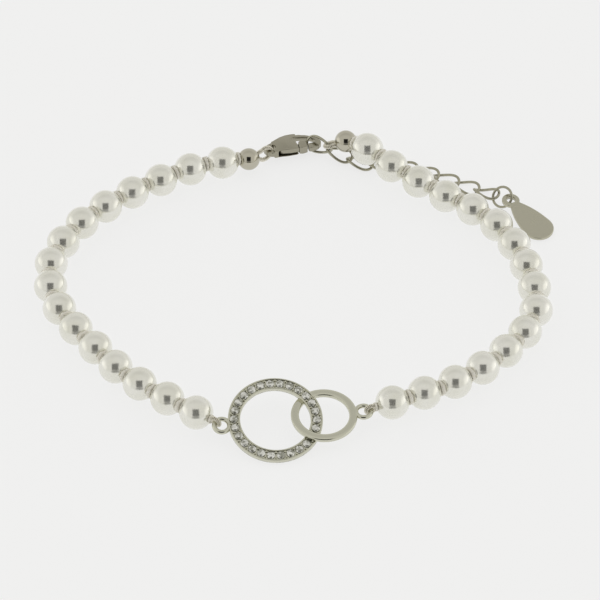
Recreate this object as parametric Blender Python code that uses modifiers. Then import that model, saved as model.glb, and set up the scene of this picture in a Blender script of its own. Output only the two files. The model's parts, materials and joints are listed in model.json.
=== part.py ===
"""Pearl bracelet with two linked circles, a lobster clasp and an extension chain.

Thirty-two white pearls are knotted on two strands of cream thread. The strands meet
in front at two silver circles, one set with small stones, and behind at a lobster
clasp that hooks the first link of a curb chain. The chain ends in a round ring and a
teardrop tag. The bracelet lies closed on a flat surface at z = 0.

Units are metres, +Z is up, -Y is the side of the linked circles.
"""

from math import asin, cos, pi, radians, sin, sqrt

import bmesh
import bpy
import numpy as np
from mathutils import Matrix, Vector

UP = Vector((0.0, 0.0, 1.0))
CLEARANCE = 0.0001

# Pearls and their thread
PEARL_DIAMETER = 0.00394
PEARL_BORE = 0.0007
LEFT_PEARL_GAP = 0.00013
RIGHT_PEARL_GAP = 0.00008
PEARLS_PER_STRAND = 16
THREAD_DIAMETER = 0.0003
KNOT_DIAMETER = 0.00116
KNOT_LENGTH = 0.00006
END_KNOT_SHARE = 0.6

# Silver beads that end each strand beside the clasp
END_BEAD_DIAMETER = 0.0027
END_BEAD_BORE = 0.0015
END_BEAD_GAP = 0.00025

# Bullion wire that guards the thread where it meets metal
BULLION_DIAMETER = 0.00034
CLASP_BULLION_REACH = 0.0020
CHAIN_BULLION_REACH = 0.00125
BEAD_SEAT = 0.00094
BULLION_FULLNESS = 1.2
BULLION_TAPER = 0.45
CHAIN_HOLD_ANGLE = radians(35.0)

# Linked circles in front
PAVE_RING_DIAMETER = 0.0108
PAVE_BAND = 0.00138
PAVE_THICKNESS = 0.00062
PAVE_CHANNEL_DEPTH = 0.00014
PAVE_RIM = 0.00013
PAVE_STONES = 26
STONE_DIAMETER = 0.00092
STONE_TABLE = 0.00052
STONE_CROWN = 0.00022
STONE_GIRDLE_LIFT = 0.00003
PLAIN_RING_DIAMETER = 0.0076
PLAIN_BAND = 0.00094
PLAIN_THICKNESS = 0.00056
RING_OVERLAP = 0.0036
PAVE_RING_TILT = radians(17.0)
PLAIN_RING_TILT = radians(7.0)
CONNECTOR_PLACE = (-0.0028, -0.0204)
CONNECTOR_TURN = radians(8.2)
END_LOOP_DIAMETER = 0.0022
END_LOOP_WIRE = 0.00048

# Lobster clasp, lying on its side
CLASP_LENGTH = 0.0072
CLASP_WIDTH = 0.0030
CLASP_THICKNESS = 0.0014
CLASP_HEIGHT = 0.00115
CLASP_PLACE = (-0.0034, 0.02845)
CLASP_TURN = radians(13.4)
HOOK_THICKNESS = 0.00065
EYELET_DIAMETER = 0.0021
EYELET_HOLE = 0.00096
EYELET_THICKNESS = 0.0007
LEVER_THICKNESS = 0.0007
LEVER_HEAD_THICKNESS = 0.0011
PIN_DIAMETER = 0.0004
PIN_CLEARANCE = 0.00004
PIN_INSET = 0.0001
CLASP_EDGE = 0.00012

# Extension chain and its tag
LINK_LENGTH = 0.00362
LINK_WIDTH = 0.0024
LINK_WIRE = 0.00033
LINK_TWIST = 0.00028
CHAIN_LINKS = 9
CHAIN_SLACK = 0.0002
LAST_LINK_ROLL = radians(-12.0)
TAG_RING_SLACK = 0.000285
FIRST_LINK_ROLL = radians(82.0)
TAG_RING_DIAMETER = 0.00275
TAG_RING_WIRE = 0.0003
TAG_RING_ROLL = radians(48.0)
TAG_LENGTH = 0.0083
TAG_WIDTH = 0.0038
TAG_TURN = radians(-18.0)
TAG_SHOULDER = radians(95.0)
TAG_NECK = radians(38.0)
TAG_FULLNESS = 0.49
TAG_THICKNESS = 0.0004
TAG_EYELET = 0.00215
TAG_HOLE = 0.00113

# Facets of round pieces
BEAD_SIDES = 12
BEAD_ARC_STEPS = 8
WIRE_RESOLUTION = 1
RING_STEPS = 44

# Chosen points of the two strands, from the clasp to the circles: x, y and the lift of
# a pearl's centre above its resting height. The ends are worked out from the metal.
LEFT_ROUTE = [
    (-0.0061, 0.0262, -0.0003),
    (-0.0092, 0.0252, 0.0),
    (-0.0130, 0.0241, 0.0),
    (-0.0202, 0.0197, 0.0),
    (-0.0262, 0.0141, 0.0),
    (-0.0297, 0.0068, 0.0),
    (-0.0287, -0.0007, 0.0),
    (-0.0239, -0.0082, 0.0),
    (-0.0187, -0.0142, 0.0),
]
RIGHT_ROUTE = [
    (0.0056, 0.02845, 0.0006),
    (0.0078, 0.0267, 0.00108),
    (0.0107, 0.0239, 0.0007),
    (0.0163, 0.0197, 0.0),
    (0.0226, 0.0144, 0.0),
    (0.0261, 0.0076, 0.0),
    (0.0274, -0.0014, 0.0),
    (0.0241, -0.0082, 0.0),
    (0.0178, -0.0140, 0.0),
]

# Chosen points of the chain, after its first link: x, y and the lift of a link's centre
# above its resting height. The first link's place comes from the clasp's hook.
CHAIN_ROUTE = [
    (0.0050, 0.0281, 0.00036),
    (0.0078, 0.0269, 0.0),
    (0.0134, 0.0258, 0.0),
    (0.0185, 0.0233, 0.0),
    (0.0207, 0.0221, 0.00002),
    (0.0230, 0.0207, 0.00037),
    (0.0253, 0.0191, 0.00086),
    (0.0320, 0.0142, 0.00086),
]

# Outline of the clasp's body in shares of its length and width, from the eyelet along
# the back, round the hook and its nose, and back along the slot for the lever.
CLASP_OUTLINE = [
    (0.000, 0.36),
    (0.035, 0.56),
    (0.110, 0.66),
    (0.180, 0.72),
    (0.250, 0.81),
    (0.330, 0.92),
    (0.430, 0.985),
    (0.530, 1.000),
    (0.650, 0.970),
    (0.770, 0.885),
    (0.880, 0.750),
    (0.965, 0.580),
    (1.000, 0.400),
    (0.985, 0.230),
    (0.920, 0.090),
    (0.830, 0.020),
    (0.765, 0.030),
    (0.755, 0.090),
    (0.755, 0.330),
    (0.800, 0.350),
    (0.870, 0.370),
    (0.905, 0.460),
    (0.890, 0.560),
    (0.820, 0.680),
    (0.720, 0.765),
    (0.600, 0.800),
    (0.530, 0.775),
    (0.500, 0.690),
    (0.520, 0.590),
    (0.570, 0.470),
    (0.583, 0.340),
    (0.583, 0.060),
    (0.540, 0.040),
    (0.400, 0.045),
    (0.280, 0.060),
    (0.180, 0.035),
    (0.110, 0.055),
    (0.035, 0.170),
]
EYELET_ALONG = 0.145
EYELET_END = 0.16
HOOK_START = 0.60
SLOT_END = 0.62
CUTTER_REACH = 0.2
LINK_HOLD_ALONG = 0.7240
LINK_HOLD_ACROSS = 0.2101
AXIS_ACROSS = 0.36
PIN_ALONG = 0.315
PIN_ACROSS = 0.27
LEVER_OUTLINE = [
    (0.262, 0.27),
    (0.275, 0.35),
    (0.315, 0.38),
    (0.460, 0.36),
    (0.600, 0.36),
    (0.612, 0.47),
    (0.665, 0.49),
    (0.738, 0.43),
    (0.738, 0.09),
    (0.650, 0.045),
    (0.600, 0.07),
    (0.590, 0.12),
    (0.460, 0.11),
    (0.315, 0.15),
    (0.275, 0.19),
]
LEVER_HEAD_START = 0.597
SLOT_START = 0.235
SLOT_TOP = 0.66


def clear_scene():
    """Remove what the scene holds, so that only the bracelet is in the file."""
    for item in list(bpy.data.objects):
        bpy.data.objects.remove(item, do_unlink=True)


def new_collection(name):
    collection = bpy.data.collections.new(name)
    bpy.context.scene.collection.children.link(collection)
    return collection


def new_material(name, colour, roughness, metallic):
    material = bpy.data.materials.new(name)
    material.use_nodes = True
    shader = material.node_tree.nodes["Principled BSDF"]
    shader.inputs["Base Color"].default_value = (*colour, 1.0)
    shader.inputs["Roughness"].default_value = roughness
    shader.inputs["Metallic"].default_value = metallic
    return material


def add_object(name, data, material, collection=None):
    """Link a piece to the bracelet's collection under the root empty."""
    item = bpy.data.objects.new(name, data)
    (collection or PARTS).objects.link(item)
    item.parent = ROOT
    if material:
        data.materials.clear()
        data.materials.append(material)
    return item


def hide_helper(item):
    item.hide_render = True
    item.display_type = "WIRE"


def frame_matrix(place, along, across):
    """Matrix with local X along the first direction and local Y close to the second."""
    x_axis = Vector(along).normalized()
    y_axis = Vector(across)
    y_axis = (y_axis - y_axis.dot(x_axis) * x_axis).normalized()
    z_axis = x_axis.cross(y_axis)
    turn = Matrix((x_axis, y_axis, z_axis)).transposed()
    return Matrix.Translation(Vector(place)) @ turn.to_4x4()


def curve_to_mesh(item):
    """Turn a curve object into a mesh whose caps are welded, keeping its place."""
    bpy.context.view_layer.update()
    graph = bpy.context.evaluated_depsgraph_get()
    mesh = bpy.data.meshes.new_from_object(item.evaluated_get(graph))
    weld = bmesh.new()
    weld.from_mesh(mesh)
    bmesh.ops.remove_doubles(weld, verts=weld.verts, dist=1e-6)
    bmesh.ops.recalc_face_normals(weld, faces=weld.faces)
    weld.to_mesh(mesh)
    weld.free()
    name = item.name
    place = item.matrix_world.copy()
    collection = item.users_collection[0]
    bpy.data.objects.remove(item, do_unlink=True)
    solid = add_object(name, mesh, None, collection)
    solid.matrix_world = place
    return solid


def smooth(mesh, angle=radians(40.0)):
    mesh.shade_smooth()
    mesh.set_sharp_from_angle(angle=angle)


def union(item, *tools):
    """Fuse each helper to a piece with an exact Boolean."""
    for tool in tools:
        hide_helper(tool)
        step = item.modifiers.new("join_" + tool.name, "BOOLEAN")
        step.operation = "UNION"
        step.object = tool


def cut(item, *tools):
    for tool in tools:
        hide_helper(tool)
        step = item.modifiers.new("cut_" + tool.name, "BOOLEAN")
        step.operation = "DIFFERENCE"
        step.object = tool


def apply_modifiers(item):
    """Keep a piece's evaluated mesh as its own, so that later moves leave it as cut."""
    bpy.context.view_layer.update()
    graph = bpy.context.evaluated_depsgraph_get()
    mesh = bpy.data.meshes.new_from_object(item.evaluated_get(graph))
    item.modifiers.clear()
    item.data = mesh


def wire(name, points, diameter, material, closed=False, swell=None):
    """Round wire along given points; swell gives the share of the radius at each."""
    data = bpy.data.curves.new(name, "CURVE")
    data.dimensions = "3D"
    data.bevel_depth = diameter / 2
    data.bevel_resolution = WIRE_RESOLUTION
    data.use_fill_caps = not closed
    spline = data.splines.new("POLY")
    spline.points.add(len(points) - 1)
    for index, point in enumerate(points):
        spline.points[index].co = (*point, 1.0)
        spline.points[index].radius = swell[index] if swell else 1.0
    spline.use_cyclic_u = closed
    return add_object(name, data, material)


def plate(name, outlines, thickness, material, collection=None):
    """Flat plate from closed outlines in X and Y; an outline inside another is a hole."""
    data = bpy.data.curves.new(name, "CURVE")
    data.dimensions = "2D"
    data.fill_mode = "BOTH"
    data.extrude = thickness / 2
    for outline in outlines:
        spline = data.splines.new("POLY")
        spline.points.add(len(outline) - 1)
        for point, place in zip(spline.points, outline):
            point.co = (place[0], place[1], 0.0, 1.0)
        spline.use_cyclic_u = True
    item = curve_to_mesh(add_object(name, data, None, collection))
    if material:
        item.data.materials.append(material)
    return item


def arc(centre, radius, start, end, steps):
    """Points along an arc in X and Y, both ends included."""
    angles = [start + (end - start) * step / steps for step in range(steps + 1)]
    return [(centre[0] + radius * cos(a), centre[1] + radius * sin(a)) for a in angles]


def circle(centre, radius, sides):
    return arc(centre, radius, 0.0, 2 * pi * (1 - 1 / sides), sides - 1)


def turned_mesh(name, profile, sides, material):
    """Mesh of a closed profile turned once about Z; the profile runs down its outer side."""
    mesh = bpy.data.meshes.new(name)
    count = len(profile)
    edges = [(index, (index + 1) % count) for index in range(count)]
    mesh.from_pydata([(r, 0.0, z) for r, z in profile], edges, [])
    item = bpy.data.objects.new(name + "_profile", mesh)
    TOOLS.objects.link(item)
    screw = item.modifiers.new("turn", "SCREW")
    screw.steps = sides
    screw.render_steps = sides
    screw.use_merge_vertices = True
    screw.merge_threshold = 1e-6
    bpy.context.view_layer.update()
    graph = bpy.context.evaluated_depsgraph_get()
    turned = bpy.data.meshes.new_from_object(item.evaluated_get(graph))
    bpy.data.objects.remove(item, do_unlink=True)
    turned.name = name
    if material:
        turned.materials.append(material)
    smooth(turned)
    return turned


def bead_mesh(name, diameter, bore, material):
    """Round bead drilled through along its own Z."""
    radius = diameter / 2
    mouth = asin(bore / diameter)
    steps = BEAD_ARC_STEPS
    angles = [mouth + (pi - 2 * mouth) * step / steps for step in range(steps + 1)]
    profile = [(radius * sin(a), radius * cos(a)) for a in angles]
    return turned_mesh(name, profile, BEAD_SIDES, material)


def torus(name, radius, wire_radius, matrix, major=18, minor=6):
    """Ring of round wire about local Z, as a helper for a Boolean."""
    bpy.ops.mesh.primitive_torus_add(
        major_radius=radius,
        minor_radius=wire_radius,
        major_segments=major,
        minor_segments=minor,
    )
    item = bpy.context.object
    item.name = name
    for collection in list(item.users_collection):
        collection.objects.unlink(item)
    TOOLS.objects.link(item)
    item.parent = ROOT
    item.matrix_world = matrix
    return item


def smooth_path(points, steps=120):
    """Dense Catmull-Rom curve through points given as rows of x, y and z."""
    knots = np.array(points, dtype=float)
    before = 2 * knots[0] - knots[1]
    after = 2 * knots[-1] - knots[-2]
    knots = np.vstack([before, knots, after])
    share = np.linspace(0.0, 1.0, steps, endpoint=False)[:, None]
    pieces = []
    for a, b, c, d in zip(knots[:-3], knots[1:-2], knots[2:-1], knots[3:]):
        bend = (2 * a - 5 * b + 4 * c - d) * share**2
        curl = (3 * b - a - 3 * c + d) * share**3
        pieces.append(0.5 * (2 * b + (c - a) * share + bend + curl))
    pieces.append(knots[-2:-1])
    return np.vstack(pieces)


def walk(path, distances):
    """Step along a path by straight distances; give the places and the length left."""
    places = [path[0]]
    index = 0
    for distance in distances:
        spans = np.linalg.norm(path[index:] - places[-1], axis=1)
        beyond = np.nonzero(spans >= distance)[0]
        if len(beyond) == 0:
            shortfall = distance - spans[-1]
            direction = path[-1] - path[-2]
            direction = direction / np.linalg.norm(direction)
            places.append(path[-1] + direction * shortfall)
            index = len(path) - 1
            continue
        first = beyond[0]
        share = (distance - spans[first - 1]) / (spans[first] - spans[first - 1])
        near = path[index + first - 1]
        places.append(near + share * (path[index + first] - near))
        index = index + first
    ahead = path[-1] - path[-2]
    left = float(np.dot(path[-1] - places[-1], ahead / np.linalg.norm(ahead)))
    return places, left


def bulged(start, middle, end, bulge):
    """Route whose middle points lie further from, or nearer to, the line start to end."""
    start, end, middle = np.array(start), np.array(end), np.array(middle)
    line = (end - start)[:2]
    line = line / np.linalg.norm(line)
    flat = middle[:, :2] - start[:2]
    foot = np.outer(flat @ line, line)
    moved = middle.copy()
    moved[:, :2] = start[:2] + foot + (flat - foot) * bulge
    return smooth_path(np.vstack([start, moved, end]))


def lay_beads(start, middle, end, distances):
    """Bulge the route until the beads just fill it, and give their places."""
    low, high = 0.3, 2.5
    for _ in range(30):
        bulge = (low + high) / 2
        places, left = walk(bulged(start, middle, end, bulge), distances)
        if left > 0:
            high = bulge
        else:
            low = bulge
    return [Vector(place) for place in places]


def pearl_route(rows):
    """Route rows as places of a pearl's centre, none lower than where it rests."""
    rest = PEARL_DIAMETER / 2
    return [(x, y, rest + lift) for x, y, lift in rows]


def make_pave_ring(centre, axis, normal):
    """Silver circle with a channel on its face, as a mesh, and its stones as a helper."""
    outer = PAVE_RING_DIAMETER / 2
    inner = outer - PAVE_BAND
    top = PAVE_THICKNESS / 2
    floor = top - PAVE_CHANNEL_DEPTH
    profile = [
        (inner + PAVE_RIM, top),
        (inner + PAVE_RIM, floor),
        (outer - PAVE_RIM, floor),
        (outer - PAVE_RIM, top),
        (outer, top),
        (outer, -top),
        (inner, -top),
        (inner, top),
    ]
    mesh = turned_mesh("linked_circles", profile, RING_STEPS, SILVER)
    ring = add_object("linked_circles", mesh, SILVER)
    ring.matrix_world = frame_matrix(centre, axis, normal.cross(axis))
    data = stone_mesh("pave_stones", outer - PAVE_BAND / 2, floor)
    gems = add_object("pave_stones", data, None, TOOLS)
    gems.matrix_world = ring.matrix_world
    union(ring, gems)
    return ring


def stone_mesh(name, radius, floor):
    """Ring of round stones: an eight-sided table and crown over a sunk pavilion."""
    levels = [
        (STONE_TABLE / 2, floor - PAVE_CHANNEL_DEPTH),
        (STONE_DIAMETER / 2, floor + STONE_GIRDLE_LIFT),
        (STONE_TABLE / 2, floor + STONE_CROWN),
    ]
    sides = 8
    corners = []
    faces = []
    for stone in range(PAVE_STONES):
        angle = 2 * pi * (stone + 0.5) / PAVE_STONES
        base = len(corners)
        for size, height in levels:
            for x, y in circle((radius, 0.0), size, sides):
                turned = x * cos(angle) - y * sin(angle), x * sin(angle) + y * cos(angle)
                corners.append((*turned, height))
        faces.append([base + side for side in reversed(range(sides))])
        faces.append([base + 2 * sides + side for side in range(sides)])
        for low in (base, base + sides):
            for side in range(sides):
                ahead = (side + 1) % sides
                faces.append([low + side, low + ahead, low + sides + ahead, low + sides + side])
    mesh = bpy.data.meshes.new(name)
    mesh.from_pydata(corners, [], faces)
    return mesh


def make_plain_ring(centre, axis, normal):
    """Plain circle of domed band, as a helper that is fused to the stone-set one."""
    outer = PLAIN_RING_DIAMETER / 2
    middle = outer - PLAIN_BAND / 2
    half = PLAIN_BAND / 2
    top = PLAIN_THICKNESS / 2
    profile = [
        (middle, top),
        (middle + 0.62 * half, 0.72 * top),
        (outer, 0.1 * top),
        (outer, -top),
        (outer - PLAIN_BAND, -top),
        (outer - PLAIN_BAND, 0.1 * top),
        (middle - 0.62 * half, 0.72 * top),
    ]
    mesh = turned_mesh("plain_ring", profile, RING_STEPS - 8, None)
    ring = add_object("plain_ring", mesh, None, TOOLS)
    ring.matrix_world = frame_matrix(centre, axis, normal.cross(axis))
    return ring


def make_linked_circles():
    """The two circles with their end loops as one casting; give the loops' frames."""
    axis = Vector((cos(CONNECTOR_TURN), sin(CONNECTOR_TURN), 0.0))
    side = UP.cross(axis)
    pave_radius = PAVE_RING_DIAMETER / 2
    plain_radius = PLAIN_RING_DIAMETER / 2
    height = pave_radius * sin(PAVE_RING_TILT) + PAVE_THICKNESS / 2 * cos(PAVE_RING_TILT)
    centre = Vector((*CONNECTOR_PLACE, height))
    plain_centre = centre + axis * (pave_radius + plain_radius - RING_OVERLAP)
    pave_normal = UP * cos(PAVE_RING_TILT) - side * sin(PAVE_RING_TILT)
    plain_normal = UP * cos(PLAIN_RING_TILT) - side * sin(PLAIN_RING_TILT)
    circles = make_pave_ring(centre, axis, pave_normal)
    plain = make_plain_ring(plain_centre, axis, plain_normal)
    loop_radius = (END_LOOP_DIAMETER - END_LOOP_WIRE) / 2
    reach = loop_radius - END_LOOP_WIRE / 4
    left_centre = centre - axis * (pave_radius + reach)
    right_centre = plain_centre + axis * (plain_radius + reach)
    left_frame = frame_matrix(left_centre, -axis, pave_normal.cross(axis))
    right_frame = frame_matrix(right_centre, axis, plain_normal.cross(axis))
    left = torus("pave_end_loop", loop_radius, END_LOOP_WIRE / 2, left_frame)
    right = torus("plain_end_loop", loop_radius, END_LOOP_WIRE / 2, right_frame)
    union(circles, plain, left, right)
    apply_modifiers(circles)
    return left_frame, right_frame


def share_points(rows):
    """Clasp outline rows as lengths, measured from the eyelet's centre."""
    across = CLASP_WIDTH
    along = CLASP_LENGTH
    return [((s - EYELET_ALONG) * along, (t - AXIS_ACROSS) * across) for s, t in rows]


def box_tool(name, low, high, place):
    """Box between two corners in the clasp's frame, as a cutter."""
    bpy.ops.mesh.primitive_cube_add(size=1.0)
    item = bpy.context.object
    item.name = name
    low, high = Vector(low), Vector(high)
    item.data.transform(Matrix.Diagonal((*(high - low), 1.0)))
    item.data.transform(Matrix.Translation((low + high) / 2))
    return move_to_tools(item, place)


def pin_tool(name, diameter, length, centre, place, sides=12):
    """Upright cylinder in the clasp's frame, as a cutter or a pin."""
    bpy.ops.mesh.primitive_cylinder_add(vertices=sides, radius=diameter / 2, depth=length)
    item = bpy.context.object
    item.name = name
    item.data.transform(Matrix.Translation((*centre, 0.0)))
    return move_to_tools(item, place)


def move_to_tools(item, place):
    for collection in list(item.users_collection):
        collection.objects.unlink(item)
    TOOLS.objects.link(item)
    item.parent = ROOT
    item.matrix_world = place
    return item


def make_clasp():
    """Lobster clasp: a hooked body with a slot, a pin and the lever that shuts it."""
    along = Vector((cos(CLASP_TURN), sin(CLASP_TURN), 0.0))
    place = frame_matrix((*CLASP_PLACE, CLASP_HEIGHT), along, UP.cross(along))
    outline = share_points(CLASP_OUTLINE)
    body = plate("clasp_body", [outline], CLASP_THICKNESS, SILVER)
    body.matrix_world = place
    bevel = body.modifiers.new("soft_edges", "BEVEL")
    bevel.width = CLASP_EDGE
    bevel.segments = 1
    bevel.limit_method = "ANGLE"
    bevel.angle_limit = radians(60.0)
    pivot = share_points([(PIN_ALONG, PIN_ACROSS)])[0]
    beyond = 1 + CUTTER_REACH
    slot_low = share_points([(SLOT_START, -CUTTER_REACH)])[0]
    slot_high = share_points([(SLOT_END, SLOT_TOP)])[0]
    slot = LEVER_THICKNESS / 2 + CLEARANCE
    hook_start = share_points([(HOOK_START, -CUTTER_REACH)])[0]
    hook_end = share_points([(beyond, beyond)])[0]
    eyelet_low = share_points([(-CUTTER_REACH, -CUTTER_REACH)])[0]
    eyelet_high = share_points([(EYELET_END, beyond)])[0]
    half = CLASP_THICKNESS
    thin_hook = HOOK_THICKNESS / 2
    thin_eyelet = EYELET_THICKNESS / 2
    cut(
        body,
        pin_tool("eyelet_hole", EYELET_HOLE, 2 * half, (0.0, 0.0), place, 16),
        box_tool("slot", (*slot_low, -slot), (*slot_high, slot), place),
        box_tool("hook_top", (*hook_start, thin_hook), (*hook_end, half), place),
        box_tool("hook_under", (*hook_start, -half), (*hook_end, -thin_hook), place),
        box_tool("eyelet_top", (*eyelet_low, thin_eyelet), (*eyelet_high, half), place),
        box_tool("eyelet_under", (*eyelet_low, -half), (*eyelet_high, -thin_eyelet), place),
    )
    pin_length = CLASP_THICKNESS - 2 * PIN_INSET
    union(body, pin_tool("lever_pin", PIN_DIAMETER, pin_length, pivot, place))
    make_lever(place, pivot)
    return place


def make_lever(place, pivot):
    """Lever with a thicker head that meets the hook's nose; its origin is on the pin."""
    outline = [(x - pivot[0], y - pivot[1]) for x, y in share_points(LEVER_OUTLINE)]
    seat = place @ Matrix.Translation((*pivot, 0.0))
    lever = plate("clasp_lever", [outline], LEVER_HEAD_THICKNESS, SILVER)
    lever.matrix_world = seat
    start = share_points([(LEVER_HEAD_START, 0.0)])[0][0] - pivot[0]
    reach = CLASP_LENGTH
    bar = LEVER_THICKNESS / 2
    thick = LEVER_HEAD_THICKNESS
    bore = PIN_DIAMETER + 2 * PIN_CLEARANCE
    cut(
        lever,
        box_tool("bar_top", (-reach, -reach, bar), (start, reach, thick), seat),
        box_tool("bar_under", (-reach, -reach, -thick), (start, reach, -bar), seat),
        pin_tool("lever_bore", bore, 2 * thick, (0.0, 0.0), seat),
    )


def link_matrix(place, along, roll):
    """Frame of a chain link: X along the chain, Y across it, rolled about X."""
    across = UP.cross(along).normalized()
    return frame_matrix(place, along, across) @ Matrix.Rotation(roll, 4, "X")


def link_points():
    """Centreline of a curb link: an oval that is twisted out of its plane."""
    length = (LINK_LENGTH - LINK_WIRE) / 2
    width = (LINK_WIDTH - LINK_WIRE) / 2
    steps = 18
    angles = [2 * pi * step / steps for step in range(steps)]
    return [(length * cos(a), width * sin(a), LINK_TWIST * sin(2 * a)) for a in angles]


def make_chain(clasp_place):
    """Curb links from the clasp's hook to the tag; give the frame of the first link."""
    rest = LINK_TWIST + LINK_WIRE / 2
    half_width = (LINK_WIDTH - LINK_WIRE) / 2
    lean = LINK_TWIST * cos(FIRST_LINK_ROLL)
    first_height = half_width * sin(FIRST_LINK_ROLL) + lean + LINK_WIRE / 2
    rows = [(x, y, rest + lift) for x, y, lift in CHAIN_ROUTE]
    held = share_points([(LINK_HOLD_ALONG, LINK_HOLD_ACROSS)])[0]
    half_length = (LINK_LENGTH - LINK_WIRE) / 2
    start = clasp_place @ Vector((held[0] + half_length, held[1], 0.0))
    path = smooth_path([(start.x, start.y, first_height), *rows])
    pitch = LINK_LENGTH - 2 * LINK_WIRE - CHAIN_SLACK
    tag_ring_radius = (TAG_RING_DIAMETER - TAG_RING_WIRE) / 2
    to_ring = LINK_LENGTH / 2 - LINK_WIRE + tag_ring_radius - TAG_RING_WIRE / 2 - TAG_RING_SLACK
    steps = [pitch] * (CHAIN_LINKS - 1) + [to_ring, tag_ring_radius]
    places = [Vector(place) for place in walk(path, steps)[0]]
    model = wire("chain_link_01", link_points(), LINK_WIRE, None, closed=True)
    first = curve_to_mesh(model)
    first.data.materials.append(SILVER)
    smooth(first.data)
    rolls = {0: FIRST_LINK_ROLL, CHAIN_LINKS - 1: LAST_LINK_ROLL}
    for index in range(CHAIN_LINKS):
        link = first
        if index:
            name = f"chain_link_{index + 1:02d}"
            link = add_object(name, first.data, SILVER)
        ahead = places[index + 1] - places[index]
        behind = ahead if index == 0 else places[index] - places[index - 1]
        along = ahead.normalized() + behind.normalized()
        if index == 0:
            along.z = 0.0
        roll = rolls.get(index, 0.0)
        link.matrix_world = link_matrix(places[index], along, roll)
    make_tag(places[CHAIN_LINKS], places[CHAIN_LINKS + 1])
    return first.matrix_world.copy()


def make_tag(ring_place, hole_place):
    """Round end ring and the teardrop tag that hangs on it."""
    radius = (TAG_RING_DIAMETER - TAG_RING_WIRE) / 2
    height = radius * sin(TAG_RING_ROLL) + TAG_RING_WIRE / 2
    along = hole_place - ring_place
    along.z = 0.0
    along.normalize()
    centre = Vector((ring_place.x, ring_place.y, height))
    ring_points = [(x, y, 0.0) for x, y in circle((0.0, 0.0), radius, 20)]
    ring = curve_to_mesh(wire("end_ring", ring_points, TAG_RING_WIRE, None, closed=True))
    ring.data.materials.append(SILVER)
    smooth(ring.data)
    ring.matrix_world = link_matrix(centre, along, TAG_RING_ROLL)
    belly = TAG_WIDTH / 2
    eyelet = TAG_EYELET / 2
    span = TAG_LENGTH - belly - eyelet
    outline = tag_outline(belly, eyelet, span)
    hole = circle((0.0, 0.0), TAG_HOLE / 2, 14)
    tag = plate("tag", [outline, hole], TAG_THICKNESS, SILVER)
    slope = asin((height - TAG_THICKNESS / 2) / (span + belly))
    level = Matrix.Rotation(TAG_TURN, 3, "Z") @ along
    down = level * cos(slope) - UP * sin(slope)
    tag.matrix_world = frame_matrix(centre + along * radius, down, UP.cross(level))


def tag_outline(belly, eyelet, span):
    """Teardrop: a round belly, two full sides and a round eyelet at the origin."""
    front = arc((span, 0.0), belly, -TAG_SHOULDER, TAG_SHOULDER, 14)
    start = Vector(front[-1])
    heading = Vector((-sin(TAG_SHOULDER), cos(TAG_SHOULDER)))
    control = start + heading * (span * TAG_FULLNESS)
    end = Vector((eyelet * cos(TAG_NECK), eyelet * sin(TAG_NECK)))
    side = []
    for step in range(1, 6):
        share = step / 6
        near = (1 - share) ** 2 * start
        far = share**2 * end
        side.append(tuple(near + 2 * share * (1 - share) * control + far))
    back = arc((0.0, 0.0), eyelet, TAG_NECK, 2 * pi - TAG_NECK, 12)
    mirrored = [(x, -y) for x, y in reversed(side)]
    return [*front, *side, *back, *mirrored]


def bullion_loop(name, hold, tangent, toward, inner, outer, half_width, taper_share):
    """Closed loop of bullion wire round the metal at its hold point; it narrows outward."""
    direction = toward.normalized()
    normal = tangent - tangent.dot(direction) * direction
    side = normal.normalized().cross(direction)
    half_length = (inner + outer) / 2
    centre = hold + direction * (outer - inner) / 2
    steps = 14
    points = []
    for step in range(steps):
        angle = 2 * pi * step / steps
        taper = 1 - taper_share * cos(angle)
        along = direction * half_length * cos(angle)
        points.append(centre + along + side * half_width * sin(angle) * taper)
    loop = curve_to_mesh(wire(name, points, BULLION_DIAMETER, None, closed=True))
    loop.data.materials.append(BULLION)
    smooth(loop.data)


def make_strand(name, places, radii, first_pearl, pearl_step, bead, pearl):
    """Silver bead and pearls at their places, and the knotted thread through them."""
    count = len(places)
    axes = []
    for index in range(1, count - 1):
        ahead = (places[index + 1] - places[index]).normalized()
        behind = (places[index] - places[index - 1]).normalized()
        weight = 2.0 if index == 1 else 1.0
        axes.append((ahead + behind * weight).normalized())
    beads = places[1:-1]
    knots = []
    for index, (place, axis) in enumerate(zip(beads, axes)):
        if index == 0:
            item = add_object("end_bead_" + name, bead, SILVER)
        else:
            number = first_pearl + (index - 1) * pearl_step
            item = add_object(f"pearl_{number:02d}", pearl, PEARL)
        item.matrix_world = frame_matrix(place, axis, UP) @ Matrix.Rotation(pi / 2, 4, "Y")
        if index:
            chord = (place - beads[index - 1]).normalized()
            leave = chord if index == 1 else axes[index - 1]
            near = beads[index - 1] + leave * radii[index - 1]
            far = place - axis * radii[index]
            knots.append(((near + far) / 2, chord))
    return beads, axes, knots


def make_thread(name, start, knots, end):
    """Cream thread that swells to a flat knot in each gap between beads."""
    points = [start]
    swell = [1.0]
    for index, (place, direction) in enumerate(knots):
        full = KNOT_DIAMETER / THREAD_DIAMETER * (1.0 if index else END_KNOT_SHARE)
        for shift, share in ((-0.5, 1.0), (0.0, full), (0.5, 1.0)):
            points.append(place + direction * KNOT_LENGTH * shift)
            swell.append(share)
    points.append(end)
    swell.append(1.0)
    thread = wire("thread_" + name, points, THREAD_DIAMETER, None, swell=swell)
    thread = curve_to_mesh(thread)
    thread.data.materials.append(THREAD)


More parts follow.
